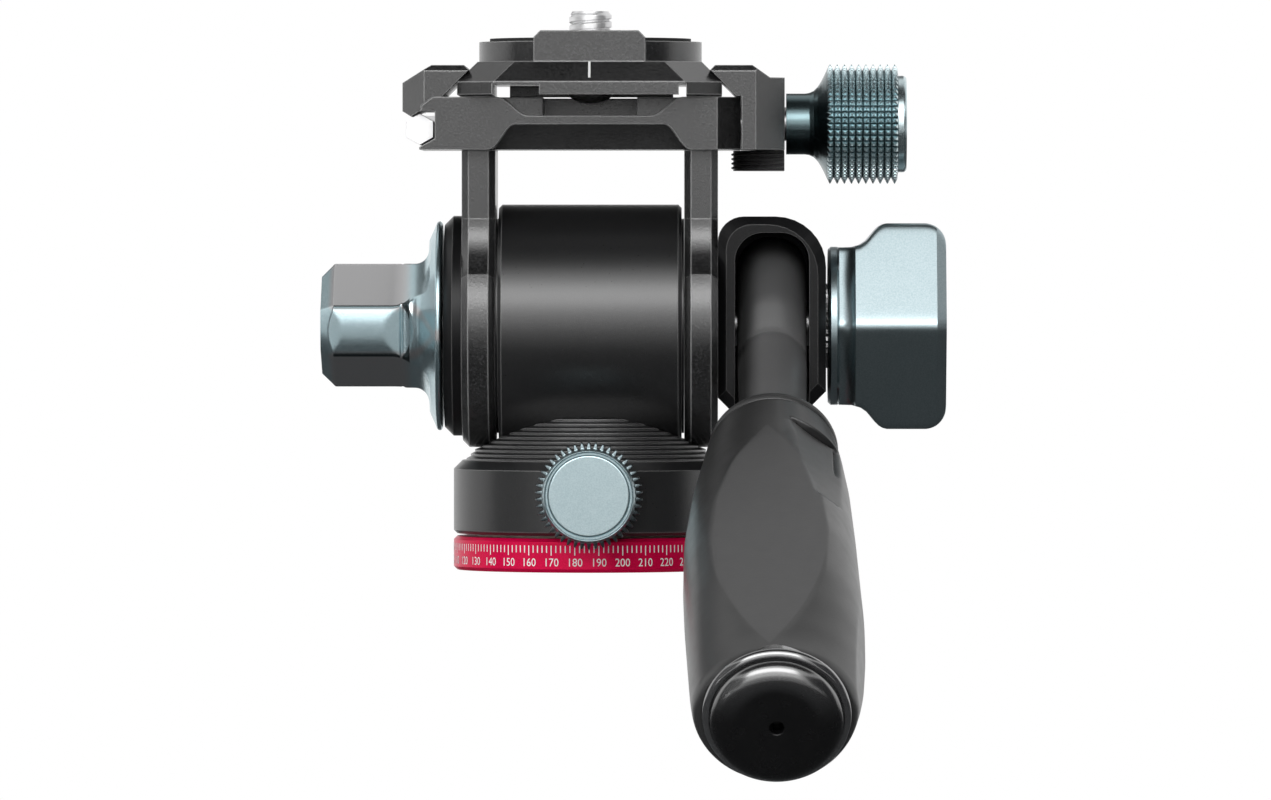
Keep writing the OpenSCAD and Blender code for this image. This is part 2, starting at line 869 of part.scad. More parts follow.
// Outline of X and a half height, completed by its mirror image
function both_halves(half) = concat(half, [for (i = [len(half) - 1:-1:0]) [half[i][0], -half[i][1]]]);

// Six-sided knob with a round collar, hollow shoulders and a rounded end
knob_screw_l = 10;

module handle_knob() {
    corner = 0.9;
    cove = 3.9;
    cove_turn = 70;
    end_r = 3.4;
    shoulder_l = 4.4;
    front_l = 2.3;
    end_bevel = 1.5;
    body_x = knob_in + collar_l;
    cove_x = body_x + collar_l;
    knob_out = knob_in + knob_l;
    side = concat(
        [[body_x, collar_r]],
        arc(cove_x, collar_r + cove, cove, -90, cove_turn - 90),
        [[cove_x + shoulder_l, knob_half_h]],
        arc(knob_out - end_r, knob_half_h - end_r, end_r, 90, 0));
    front = [[body_x, collar_r], [body_x + front_l, knob_half_d], [knob_out - end_bevel, knob_half_d],
        [knob_out, knob_half_d - end_bevel]];
    section = cut_corners([
        [-knob_half_d, 0], [-knob_flat_half, knob_half_h], [knob_flat_half, knob_half_h],
        [knob_half_d, 0], [knob_flat_half, -knob_half_h], [-knob_flat_half, -knob_half_h]
    ], corner);
    color(steel_blue)
        difference() {
            union() {
                turned_x([
                    [0, knob_in], [collar_r - edge, knob_in], [collar_r, knob_in + edge], [collar_r, cove_x],
                    [0, cove_x]
                ]);
                translate([0, 0, tilt_z])
                    intersection() {
                        along_x(body_x, knob_out)
                            polygon(section);
                        along_y(-2 * knob_half_d, 2 * knob_half_d)
                            polygon(both_halves(side));
                        translate([0, 0, -2 * knob_half_h])
                            linear_extrude(height = 4 * knob_half_h)
                                polygon(both_halves(front));
                    }
            }
            rod_x(0, knob_in + knob_screw_l + gap, lock_screw_r + seat);
        }
}

module handle_lock_screw() {
    color(silver)
        rod_x(cheek_out - axle_bore_l + gap, knob_in + knob_screw_l, lock_screw_r);
}

// Thin washer with a toothed rim between block and knob
module serrated_washer() {
    rim_r = 6.3;
    teeth = 36;
    tooth = 0.35;
    color("#3a3a3e")
        difference() {
            translate([block_out + seat, 0, tilt_z])
                rotate([0, 90, 0])
                    linear_extrude(height = serration_t)
                        polygon([for (i = [0:2 * teeth - 1])
                            let (a = 180 * i / teeth, r = rim_r - (i % 2) * tooth) [r * cos(a), r * sin(a)]]);
            rod_x(0, 2 * block_out, lock_screw_r + run_fit);
        }
}

// Half of a scoop's outline: an S-shaped flank from [wide, 0] to [narrow, depth]
function scoop_flank(wide, narrow, depth, n = 10) =
    [for (i = [0:n]) let (t = i / n) [wide + (narrow - wide) * t, depth * (1 - cos(180 * t)) / 2]];

function both_flanks(flank) = concat(flank, [for (i = [len(flank) - 1:-1:0]) [-flank[i][0], flank[i][1]]]);

// Floor of the key's groove at a place x
function key_floor(x) = key_z - key_corner - key_clear + (x - key_x) * key_slope;

// Bed of the clamp: a bar with scooped front and back, and a groove for the key on its left
module clamp_body() {
    left_bevel_x = 1.7;
    left_bevel_z = 1.3;
    corner = 3.5;
    top_scoop = 2.8;
    top_wide = 13.8;
    top_narrow = 9;
    top_reach = 7;
    low_scoop = 3.8;
    low_wide = 15;
    low_narrow = 11;
    low_reach = 4;
    head_half = camera_head_r + 1;
    color(black)
        difference() {
            intersection() {
                along_y(-clamp_half, clamp_half)
                    polygon([
                        [key_x, clamp_z], [clamp_right, clamp_z], [clamp_right, clamp_top],
                        [roof_left + left_bevel_x, clamp_top], [roof_left, clamp_top - left_bevel_z],
                        [roof_left, roof_z], [notch_right, roof_z], [notch_right, key_floor(notch_right)],
                        [key_x, key_floor(key_x)]
                    ]);
                linear_extrude(height = 2 * clamp_top)
                    polygon([
                        [key_x - 1, -clamp_half], [clamp_right - corner, -clamp_half],
                        [clamp_right, corner - clamp_half], [clamp_right, clamp_half - corner],
                        [clamp_right - corner, clamp_half], [key_x - 1, clamp_half]
                    ]);
            }
            for (m = [0, 1])
                mirror([0, m, 0]) {
                    translate([0, 0, clamp_top])
                        along_y(-clamp_half - 1, top_reach - clamp_half)
                            polygon(both_flanks(scoop_flank(top_wide, top_narrow, -top_scoop)));
                    intersection() {
                        translate([0, 0, clamp_z])
                            along_y(-clamp_half - 1, low_reach - clamp_half)
                                polygon(both_flanks(scoop_flank(low_wide, low_narrow, low_scoop)));
                        along_x(-clamp_right, clamp_right)
                            polygon([
                                [-clamp_half - 1, clamp_z - 1], [low_reach - clamp_half, clamp_z - 1],
                                [low_reach - clamp_half, clamp_z], [-clamp_half, clamp_z + low_scoop],
                                [-clamp_half - 1, clamp_z + low_scoop]
                            ]);
                    }
                }
            translate([-head_half, -clamp_half, clamp_top - top_scoop])
                cube([2 * head_half, clamp_half + head_half, clamp_h]);
            rod_x(clamp_screw_in - gap, 2 * clamp_right, clamp_screw_r + run_fit, 0, screw_z);
            for (s = [-1, 1])
                rod_x(guide_in, 2 * clamp_right, guide_r + seat, s * guide_off, screw_z);
            arm_screw_set(seat);
            dowel_set(seat);
        }
}

clamp_screw_in = 9;
guide_in = 16.5;
guide_out = jaw_out - 4 * gap;

module guide_pins() {
    color(silver)
        for (s = [-1, 1])
            rod_x(guide_in, guide_out, guide_r, s * guide_off, screw_z);
}

// Dowels that fix the left jaw on the bed
dowel_r = 0.7;
dowel_wall = 0.12;
dowel_pitch = 0.6 * clamp_half;
dowel_down = 4;
dowel_up = 3;

module dowel_set(clear) {
    x = notch_right + dowel_r + dowel_wall;
    for (s = [-1, 0, 1])
        post(x, s * dowel_pitch, clamp_top - dowel_down - clear, clamp_top + dowel_up + clear, dowel_r + clear);
}

module jaw_dowels() {
    color(silver)
        dowel_set(0);
}

// Clamping face of a jaw: its distance from the middle at a height
function jaw_face(z) = dovetail_half - (z - slope_z) + run_fit * sqrt(2);

jaw_nose = 0.7;
jaw_corner_y = 5;

// Plan of a jaw between x0 at the plate and x1 at its outer side, with corners cut over a width
module jaw_plan(x0, x1, corner_x) {
    s = sign(x1 - x0);
    linear_extrude(height = 2 * jaw_top)
        polygon([
            [x0, -clamp_half], [x1 - s * corner_x, -clamp_half], [x1, jaw_corner_y - clamp_half],
            [x1, clamp_half - jaw_corner_y], [x1 - s * corner_x, clamp_half], [x0, clamp_half]
        ]);
}

// Bevels along the top edges of the jaws
module jaw_bevels() {
    side = 1.2;
    for (s = [-1, 1])
        translate([0, s * clamp_half, jaw_top])
            rotate([45, 0, 0])
                cube([4 * clamp_right, side, side], center = true);
}

// Left jaw, which also covers the key's groove
module fixed_jaw() {
    nose_z = jaw_top - jaw_nose;
    left = 27.8;
    crown = 23.4;
    corner = 3.3;
    outer_half = 2.1;
    cheek_z = clamp_top + outer_half;
    lip_z = clamp_top - outer_half;
    foot_z = clamp_top + seat;
    bevel_x = 1.7;
    bevel_z = 1.3;
    lip_x = key_x - 1.3;
    color(black)
        difference() {
            intersection() {
                along_y(-clamp_half, clamp_half)
                    polygon([
                        [-jaw_face(nose_z), nose_z], [-jaw_face(nose_z) - jaw_nose, jaw_top], [-crown, jaw_top],
                        [-left, cheek_z], [-left, lip_z],
                        [lip_x, key_z + key_corner + key_clear - (key_x - lip_x) * key_slope],
                        [key_x, key_z + key_corner + key_clear],
                        [roof_left - seat, key_z + key_corner + key_clear],
                        [roof_left - seat, clamp_top - bevel_z + seat], [roof_left + bevel_x - seat, foot_z],
                        [-jaw_face(foot_z), foot_z]
                    ]);
                jaw_plan(-jaw_face(jaw_top), -left, corner);
            }
            jaw_bevels();
            dowel_set(seat);
        }
}

// Right jaw, which slides on two pins and carries the safety catch
catch_pin_y = 5.5;
catch_pin_l = 9;
catch_pin_in = 3.1;
catch_x = jaw_out - catch_pin_in;
spring_r = 1.9;
spring_l = 4;

module moving_jaw() {
    nose_z = jaw_top - jaw_nose;
    foot_z = clamp_top + gap / 2;
    crown = 24.1;
    shoulder_x = 26.7;
    corner = 4.3;
    shoulder_z = jaw_top - 1.8;
    color(black)
        difference() {
            intersection() {
                along_y(-clamp_half, clamp_half)
                    polygon([
                        [jaw_face(nose_z), nose_z], [jaw_face(foot_z), foot_z], [jaw_in, foot_z], [jaw_in, clamp_z],
                        [jaw_out, clamp_z], [jaw_out, shoulder_z], [shoulder_x, shoulder_z], [crown, jaw_top],
                        [jaw_face(nose_z) + jaw_nose, jaw_top]
                    ]);
                jaw_plan(jaw_face(jaw_top), jaw_out, corner);
            }
            jaw_bevels();
            rod_x(0, 2 * jaw_out, clamp_screw_r + run_fit, 0, screw_z);
            for (s = [-1, 1]) {
                rod_x(0, guide_out + gap, guide_r + run_fit, s * guide_off, screw_z);
                post(catch_x, s * catch_pin_y, clamp_z - 1, clamp_z + catch_pin_l + gap, catch_pin_r + run_fit);
                post(catch_x, s * catch_pin_y, clamp_z - 1, clamp_z + spring_l + gap, spring_r + seat);
            }
        }
}

// Return springs of the catch, as sleeves of their outer and inner size
module catch_springs() {
    color(silver)
        for (s = [-1, 1])
            difference() {
                post(catch_x, s * catch_pin_y, clamp_z + gap, clamp_z + spring_l, spring_r);
                post(catch_x, s * catch_pin_y, clamp_z - 1, clamp_z + spring_l + 1, catch_pin_r + run_fit);
            }
}

// Half-round catch under the jaw, ribbed for a finger, with two guide pins
module safety_catch() {
    top = clamp_z - gap / 3;
    pitch = catch_h / (catch_ribs + 0.5);
    rib = 0.3;
    color(rubber) {
        intersection() {
            translate([jaw_out, 0, top - catch_h])
                rotate_extrude()
                    polygon(concat(
                        [[0, 0], [catch_l - rib, 0]],
                        [for (i = [0:catch_ribs - 1]) each [
                            [catch_l - rib, (i + 0.3) * pitch], [catch_l, (i + 0.5) * pitch],
                            [catch_l, (i + 0.8) * pitch], [catch_l - rib, (i + 1) * pitch]]],
                        [[catch_l - rib, catch_h], [0, catch_h]]));
            translate([jaw_out - 2 * catch_l, -catch_l - 1, 0])
                cube([2 * catch_l - seat, 2 * catch_l + 2, 2 * clamp_z]);
        }
        for (s = [-1, 1])
            post(catch_x, s * catch_pin_y, top - eps, clamp_z + catch_pin_l, catch_pin_r);
    }
}

// Knurled knob of the clamp, turned about the clamp screw
knob_neck_l = 2.8;
knob_flare = 2.7;
screw_in_knob = 4;

module clamp_knob() {
    neck_r = 4.55;
    disc_r = 7.2;
    disc_l = 1.2;
    flare_x = knob_neck_in + knob_neck_l;
    knurl_x = flare_x + knob_flare;
    pitch = knurl_l / knurl_rings;
    root_r = clamp_knob_r - knurl_depth;
    end_x = knurl_x + knurl_l;
    color(steel_blue)
        difference() {
            translate([0, 0, screw_z - tilt_z])
                turned_x(concat(
                    [[0, knob_neck_in], [neck_r, knob_neck_in]],
                    arc(neck_r + knob_flare, flare_x, knob_flare, 180, 90),
                    [for (i = [0:knurl_rings - 1]) each [
                        [root_r, knurl_x + i * pitch], [clamp_knob_r, knurl_x + (i + 0.4) * pitch],
                        [clamp_knob_r, knurl_x + (i + 0.6) * pitch]]],
                    [[root_r, end_x], [disc_r, end_x], [disc_r, end_x + disc_l - edge],
                        [disc_r - edge, end_x + disc_l], [0, end_x + disc_l]]));
            rod_x(0, knob_neck_in + screw_in_knob + gap, clamp_screw_r + seat, 0, screw_z);
        }
}

module clamp_screw() {
    color(silver)
        rod_x(clamp_screw_in, knob_neck_in + screw_in_knob, clamp_screw_r, 0, screw_z);
}

// Plan of the plate's dovetail, with cut corners, drawn in by an inset
function plate_plan(inset) =
    let (x = dovetail_half - inset, y = plate_half - inset, c = 5.5)
    [[x - c, -y], [x, c - y], [x, y - c], [x - c, y], [c - x, y], [-x, y - c], [-x, c - y], [c - x, -y]];

// Quick-release plate: rails with a dovetail, a round body and a lip at the front
module quick_plate() {
    rail_w = 5.3;
    tongue_left = 7.4;
    tongue_right = 13.2;
    tongue_d = 4;
    rear_w = 24.6;
    lip_d = 4;
    lip_bevel = 1;
    channel_top = slope_z - gap;
    lip_y = dovetail_slope - plate_half;
    color(black)
        difference() {
            union() {
                translate([0, 0, plate_z])
                    linear_extrude(height = dovetail_foot)
                        polygon(plate_plan(0));
                translate([0, 0, slope_z])
                    hull() {
                        linear_extrude(height = eps)
                            polygon(plate_plan(0));
                        translate([0, 0, dovetail_slope - eps])
                            linear_extrude(height = eps)
                                polygon(plate_plan(dovetail_slope));
                    }
                translate([0, 0, body_z - eps])
                    cylinder(h = plate_body_h + eps, r = body_half);
                along_y(lip_y, lip_y + lip_d)
                    polygon([
                        [-lip_w / 2, body_z - eps], [lip_w / 2, body_z - eps],
                        [lip_w / 2, plate_top + lip_h - lip_bevel], [lip_w / 2 - lip_bevel, plate_top + lip_h],
                        [lip_bevel - lip_w / 2, plate_top + lip_h], [-lip_w / 2, plate_top + lip_h - lip_bevel]
                    ]);
            }
            difference() {
                along_y(-plate_half - 1, plate_half + 1)
                    translate([rail_w - dovetail_half, plate_z - 1])
                        square([2 * (dovetail_half - rail_w), channel_top - plate_z + 1]);
                along_y(-plate_half - 2, tongue_d - plate_half)
                    translate([-tongue_left, plate_z - 2])
                        square([tongue_left + tongue_right, dovetail_foot + 2]);
                along_y(plate_half - tongue_d, plate_half + 2)
                    translate([-rear_w / 2, plate_z - 2])
                        square([rear_w, dovetail_foot + 2]);
            }
            post(0, 0, plate_z - 1, plate_top + 1, camera_r + run_fit);
        }
}

// Rubber pads left and right of the camera screw
module rubber_pads() {
    pad_in = 8;
    pad_edge = 1.6;
    color(rubber)
        difference() {
            post(0, 0, plate_top + seat, plate_top + pad_h, body_half - pad_edge);
            translate([-pad_in, -2 * body_half, plate_top - 1])
                cube([2 * pad_in, 4 * body_half, pad_h + 2]);
        }
}

// Camera screw with a flat head in the plate's channel, an undercut neck and a domed foot
module camera_screw() {
    head_top = slope_z - 2 * gap;
    head_bottom = plate_z + edge;
    neck_r = camera_r - edge;
    neck_top = plate_top + 2 * gap / 3;
    dome_r = 3.4;
    dome_h = 1.6;
    color(silver)
        rotate_extrude()
            polygon(concat(
                [[0, head_bottom - dome_h]],
                [for (i = [1:8]) [dome_r * sin(90 * i / 8), head_bottom - dome_h * cos(90 * i / 8)]],
                [[camera_head_r, head_bottom], [camera_head_r, head_top], [neck_r, head_top], [neck_r, neck_top],
                    [camera_r, neck_top], [camera_r, plate_top + camera_up - edge],
                    [camera_r - edge, plate_top + camera_up], [0, plate_top + camera_up]]));
}

// Stored hex key: a long arm along the clamp and a short arm bent behind it
module hex_key() {
    bend_r = 4.5;
    bend_y = clamp_half - 0.4;
    color(silver)
        translate([key_x, bend_y, key_z]) {
            rotate([90, 0, 0])
                rotate([0, 0, 90])
                    cylinder(h = key_l, r = key_corner, $fn = 6);
            translate([bend_r, 0, 0])
                rotate([0, 0, 90])
                    rotate_extrude(angle = 90)
                        translate([bend_r, 0])
                            rotate([0, 0, 90])
                                circle(r = key_corner, $fn = 6);
            translate([bend_r, bend_r, 0])
                rotate([0, 90, 0])
                    cylinder(h = key_short - bend_r, r = key_corner, $fn = 6);
        }
}

base_plate();
scale_ring();
thrust_washer();
pan_body();
pan_retainers();
brake_shoe();
tilt_barrel();
barrel_screws();
tilt_bushes();
pan_knob();
pan_lock_stud();
left_cheek();
right_cheek();
tilt_axle();
drag_cover();
cover_screws();
handle_block();
block_screws();
clamp_body();
arm_screws();
fixed_jaw();
jaw_dowels();
guide_pins();
tilt_knob();
tilt_lock_stud();
handle_rod();
grip_collar();
grip();
cap_ring();
end_cap();
handle_knob();
handle_lock_screw();
serrated_washer();
moving_jaw();
catch_springs();
safety_catch();
clamp_knob();
clamp_screw();
quick_plate();
rubber_pads();
camera_screw();
hex_key();
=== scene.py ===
"""Looks of the fluid video head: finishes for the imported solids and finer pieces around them."""
import json
import math

import bpy
import numpy as np
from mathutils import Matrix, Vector

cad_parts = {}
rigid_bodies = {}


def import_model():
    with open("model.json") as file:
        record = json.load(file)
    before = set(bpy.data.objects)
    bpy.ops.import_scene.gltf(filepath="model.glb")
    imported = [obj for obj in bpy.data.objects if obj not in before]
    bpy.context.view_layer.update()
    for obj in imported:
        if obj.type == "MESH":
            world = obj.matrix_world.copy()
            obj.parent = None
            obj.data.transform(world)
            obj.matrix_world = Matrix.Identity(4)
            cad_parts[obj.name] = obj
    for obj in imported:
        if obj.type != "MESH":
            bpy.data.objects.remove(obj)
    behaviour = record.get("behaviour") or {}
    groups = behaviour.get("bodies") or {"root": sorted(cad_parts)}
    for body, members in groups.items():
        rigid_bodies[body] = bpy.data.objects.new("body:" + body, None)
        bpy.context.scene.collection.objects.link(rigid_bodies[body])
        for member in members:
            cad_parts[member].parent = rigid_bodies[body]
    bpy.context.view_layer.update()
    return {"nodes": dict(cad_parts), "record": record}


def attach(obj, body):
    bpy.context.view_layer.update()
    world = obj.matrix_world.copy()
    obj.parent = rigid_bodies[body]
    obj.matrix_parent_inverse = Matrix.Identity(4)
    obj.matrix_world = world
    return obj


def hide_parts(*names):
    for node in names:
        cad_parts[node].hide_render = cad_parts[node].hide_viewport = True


for leftover in list(bpy.data.objects):
    bpy.data.objects.remove(leftover)
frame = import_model()
nodes = frame["nodes"]
scene = bpy.context.scene

# A millimetre in metres, and places that several pieces share, in millimetres as in the part's source
MM = 0.001
TILT_Z = 36.3
CLAMP_Z = 66.4
PAN_LOCK_Z = 11.5
SLOT_X = 27.02
GRIP_FROM = 44.0

# Slope of the handle at rest, downwards to the front
DROP = math.radians(25.5)

# Flats of the tilt knob: their turns about its axis in degrees and their distance from it
FLAT_TURNS = (55, 175, 295)
FLAT = 7.5

# Lens on top of the grip: its middle from the grip's start, its length, width and shift to the right
LENS_MIDDLE = 42.5
LENS_LENGTH = 68.0
LENS_WIDTH = 17.2
LENS_SHIFT = -1.0

# Plane of the grip's thumb rest: its turn about the handle in degrees, its start, reach there and slope
REST_TURN = 52
REST_FROM = 6.5
REST_REACH = 9.0
REST_SLOPE = 0.105


class Shade:
    """A socket of a finish; Python's operators on it add Math nodes."""

    def __init__(self, finish, socket):
        self.finish = finish
        self.socket = socket

    def math(self, operation, *values):
        inputs = dict(enumerate((self,) + values))
        return self.finish.add("ShaderNodeMath", {"operation": operation}, inputs)

    def __add__(self, other):
        return self.math("ADD", other)

    def __sub__(self, other):
        return self.math("SUBTRACT", other)

    def __rsub__(self, other):
        return self.finish.add("ShaderNodeMath", {"operation": "SUBTRACT"}, {0: other, 1: self})

    def __mul__(self, other):
        return self.math("MULTIPLY", other)

    def __lt__(self, other):
        return self.math("LESS_THAN", other)

    def __gt__(self, other):
        return self.math("GREATER_THAN", other)

    __radd__ = __add__
    __rmul__ = __mul__

    def size(self):
        return self.math("ABSOLUTE")

    def step(self, low, high):
        """Smooth rise from 0 at low to 1 at high."""
        return self.finish.add("ShaderNodeMapRange", {"interpolation_type": "SMOOTHSTEP"},
                               {"Value": self, "From Min": low, "From Max": high})


def far(first, second):
    """Distance from an axis: the root of the sum of two squared shades."""
    return (first * first + second * second).math("SQRT")


class Finish:
    """A material with one Principled shader, and the methods that add its nodes; lengths are in metres."""

    def __init__(self, name, **constants):
        self.material = bpy.data.materials.new(name)
        self.material.use_nodes = True
        self.tree = self.material.node_tree
        self.tree.nodes.clear()
        self.shader = self.tree.nodes.new("ShaderNodeBsdfPrincipled")
        surface = self.tree.nodes.new("ShaderNodeOutputMaterial")
        self.tree.links.new(self.shader.outputs[0], surface.inputs["Surface"])
        for key, value in constants.items():
            self.feed(key.replace("_", " "), value)
        place = self.tree.nodes.new("ShaderNodeTexCoord")
        self.place = Shade(self, place.outputs["Object"])

    def plug(self, socket, value):
        """Links a shade to a socket, or sets its number or colour."""
        if isinstance(value, Shade):
            self.tree.links.new(value.socket, socket)
        elif socket.type == "RGBA":
            socket.default_value = tuple(value) + (1.0,) * (4 - len(value))
        else:
            socket.default_value = value

    def feed(self, name, value):
        """Plugs a value into an input of the shader."""
        self.plug(self.shader.inputs[name], value)

    def add(self, kind, settings=None, inputs=None, output=0):
        """A node of that kind with its settings and inputs, as the shade of one output."""
        made = self.tree.nodes.new(kind)
        for key, value in (settings or {}).items():
            setattr(made, key, value)
        for key, value in (inputs or {}).items():
            self.plug(made.inputs[key], value)
        return Shade(self, made.outputs[output])

    def noise(self, scale, detail):
        return self.add("ShaderNodeTexNoise", None,
                        {"Vector": self.place, "Scale": scale, "Detail": detail, "Roughness": 0.6})

    def axis(self, index):
        """Place along X, Y or Z."""
        return self.add("ShaderNodeSeparateXYZ", None, {0: self.place}, index)

    def above(self, height):
        """Place along Z from a height in millimetres."""
        return self.axis(2) - height * MM

    def across_handle(self):
        return self.axis(0) - SLOT_X * MM

    def above_handle(self):
        return self.above(TILT_Z) * math.cos(DROP) - self.axis(1) * math.sin(DROP)

    def along_handle(self):
        """Distance from the tilt axis along the handle, outwards."""
        return (self.axis(1) * math.cos(DROP) + self.above(TILT_Z) * math.sin(DROP)) * -1

    def mix(self, factor, first, second):
        return self.add("ShaderNodeMix", {"data_type": "RGBA"}, {0: factor, 6: first, 7: second}, 2)

    def bump(self, height, distance, under=None):
        """Normal of a height map of that distance, over another normal where one is given."""
        inputs = {"Height": height, "Distance": distance, "Strength": 1.0}
        if under:
            inputs["Normal"] = under
        return self.add("ShaderNodeBump", None, inputs)

    def soft_edge(self, radius):
        return self.add("ShaderNodeBevel", {"samples": 6}, {"Radius": radius})

    def turned_away(self, normal):
        """How far a normal departs from the true one: 1 less their dot product."""
        true = self.add("ShaderNodeNewGeometry", None, None, "Normal")
        dot = self.add("ShaderNodeVectorMath", {"operation": "DOT_PRODUCT"}, {0: normal, 1: true}, "Value")
        return 1 - dot


def blasted(name, dark, light, grain, depth, rough, edge=0.12 * MM, edge_wear_and_highlight=None, **constants):
    """Blasted and anodised metal: two close tones and two roughnesses mixed by a fine and a wide noise.

    The edge tone shows along the edges, where the softened normal departs from the true one: partly wear,
    partly a painted highlight.
    """
    finish = Finish(name, **constants)
    speck = finish.noise(grain, 2.0)
    cloud = finish.noise(90, 3.0)
    blend = (speck * 0.75 + cloud * 0.25).step(0.3, 0.7)
    finish.tone = finish.mix(blend, dark, light)
    soft = finish.soft_edge(edge) if edge else None
    # Lighter tone along the edges: partly wear, partly a painted highlight of edges catching the light
    if edge_wear_and_highlight:
        finish.tone = finish.mix(finish.turned_away(soft).step(0.004, 0.05), finish.tone, edge_wear_and_highlight)
    finish.feed("Base Color", finish.tone)
    finish.feed("Roughness", rough[0] + (rough[1] - rough[0]) * finish.noise(grain * 0.6, 1.0))
    finish.feed("Normal", finish.bump(finish.noise(grain, 3.0), depth, soft))
    return finish


def plain_metal(name, dark, light, rough, **constants):
    """Turned or ground metal: a soft cloud of two tones and a fine uneven sheen."""
    finish = Finish(name, **constants)
    finish.feed("Base Color", finish.mix(finish.noise(700, 3.0), dark, light))
    fine = finish.noise(2600, 2.0)
    finish.feed("Roughness", rough - 0.06 + 0.12 * fine)
    finish.feed("Normal", finish.bump(fine, 0.006 * MM, finish.soft_edge(0.1 * MM)))
    return finish


def moulded(name, dark, light, grain, depth, rough, **constants):
    """Moulded plastic or rubber: fine pebbled skin with slightly uneven sheen."""
    finish = Finish(name, **constants)
    finish.tone = finish.mix(finish.noise(160, 3.0), dark, light)
    finish.feed("Base Color", finish.tone)
    finish.feed("Roughness", rough - 0.05 + 0.1 * finish.noise(420, 2.0))
    finish.feed("Normal", finish.bump(finish.noise(grain, 3.0), depth, finish.soft_edge(0.2 * MM)))
    return finish


def rod_finish():
    """Satin black of the handle's rod with painted light: lighter past the eye, with painted shade at the eye
    and along its left side.
    """
    # The base tone is lightened as painted light, so the rod reads lighter than the other blacks
    finish = blasted("black_satin", (0.1, 0.1, 0.101), (0.125, 0.125, 0.126), grain=6500, depth=0.008 * MM,
                     rough=(0.3, 0.36), Metallic=0.0, Specular_IOR_Level=0.2)
    # Painted shade on the eye, painted light on the rod past it
    painted_light_past_eye = finish.along_handle().step(10 * MM, 16 * MM)
    finish.tone = finish.mix(painted_light_past_eye, (0.07, 0.07, 0.071), finish.tone)
    # Painted shade along the rod's left side
    painted_light_side = finish.across_handle().step(-4.3 * MM, -1.4 * MM)
    finish.feed("Base Color", finish.mix(painted_light_side, (0.02, 0.02, 0.0202), finish.tone))
    return finish


def toothed_finish():
    """Steel blue of the pan knob, lightened as painted light on its face, with painted shade darkening the
    teeth around it.
    """
    # Lighter copy of the steel blue: painted light on the knob's face
    finish = blasted("face_blue", (0.36, 0.46, 0.49), (0.46, 0.56, 0.58), grain=4600, depth=0.008 * MM,
                     rough=(0.27, 0.34), Metallic=1.0)
    # Painted shade over the teeth
    painted_shade_on_teeth = far(finish.axis(0), finish.above(PAN_LOCK_Z)).step(6.95 * MM, 7.1 * MM)
    finish.feed("Base Color", finish.mix(painted_shade_on_teeth, finish.tone, (0.13, 0.16, 0.17)))
    return finish


def knurled_finish():
    """Steel blue of the clamp knob, lightened as painted light on its points, with painted shade in the
    knurled band's valleys and a dark neck.
    """
    band_from, band_to = 35.1 * MM, 45.9 * MM
    # Lighter copy of the steel blue: painted light
    finish = blasted("knurl_blue", (0.5, 0.61, 0.64), (0.64, 0.75, 0.77), grain=4600, depth=0.003 * MM,
                     rough=(0.2, 0.28), edge=0, Metallic=1.0)
    across = finish.axis(0)
    point = far(finish.axis(1), finish.above(CLAMP_Z)).step(7.9 * MM, 8.4 * MM)
    # Painted shade in the valleys between the points; the neck and flare before the band are darkened too
    painted_valley_shade = (across > band_from) * (across < band_to) * (1 - point)
    finish.feed("Base Color", finish.mix(painted_valley_shade + (across < band_from), finish.tone, (0.12, 0.17, 0.18)))
    return finish


def milled_finish():
    """Steel blue of the tilt knob, lightened by painted light: neutral grey on the milled flats and painted
    shade in dark lines along the ribs' edges.
    """
    # Lighter copy of the steel blue: painted light
    finish = blasted("milled_blue", (0.44, 0.58, 0.62), (0.53, 0.67, 0.71), grain=4600, depth=0.004 * MM,
                     rough=(0.24, 0.28), Metallic=1.0)
    beyond, above = finish.axis(1), finish.above(TILT_Z)
    on_flat = 0
    for turn in FLAT_TURNS:
        reach = above * math.sin(math.radians(turn)) - beyond * math.cos(math.radians(turn))
        on_flat = (1 - (reach - FLAT * MM).size().step(0.1 * MM, 0.9 * MM)) + on_flat
    # Painted shade: dark lines along the edges of the ribs
    ridge_painted_shade = far(beyond, above).step(9.19 * MM, 9.26 * MM) * (finish.axis(0) < -26.8 * MM)
    finish.tone = finish.mix(on_flat, finish.tone, (0.56, 0.56, 0.565))
    finish.feed("Base Color", finish.mix(ridge_painted_shade, finish.tone, (0.07, 0.09, 0.095)))
    return finish


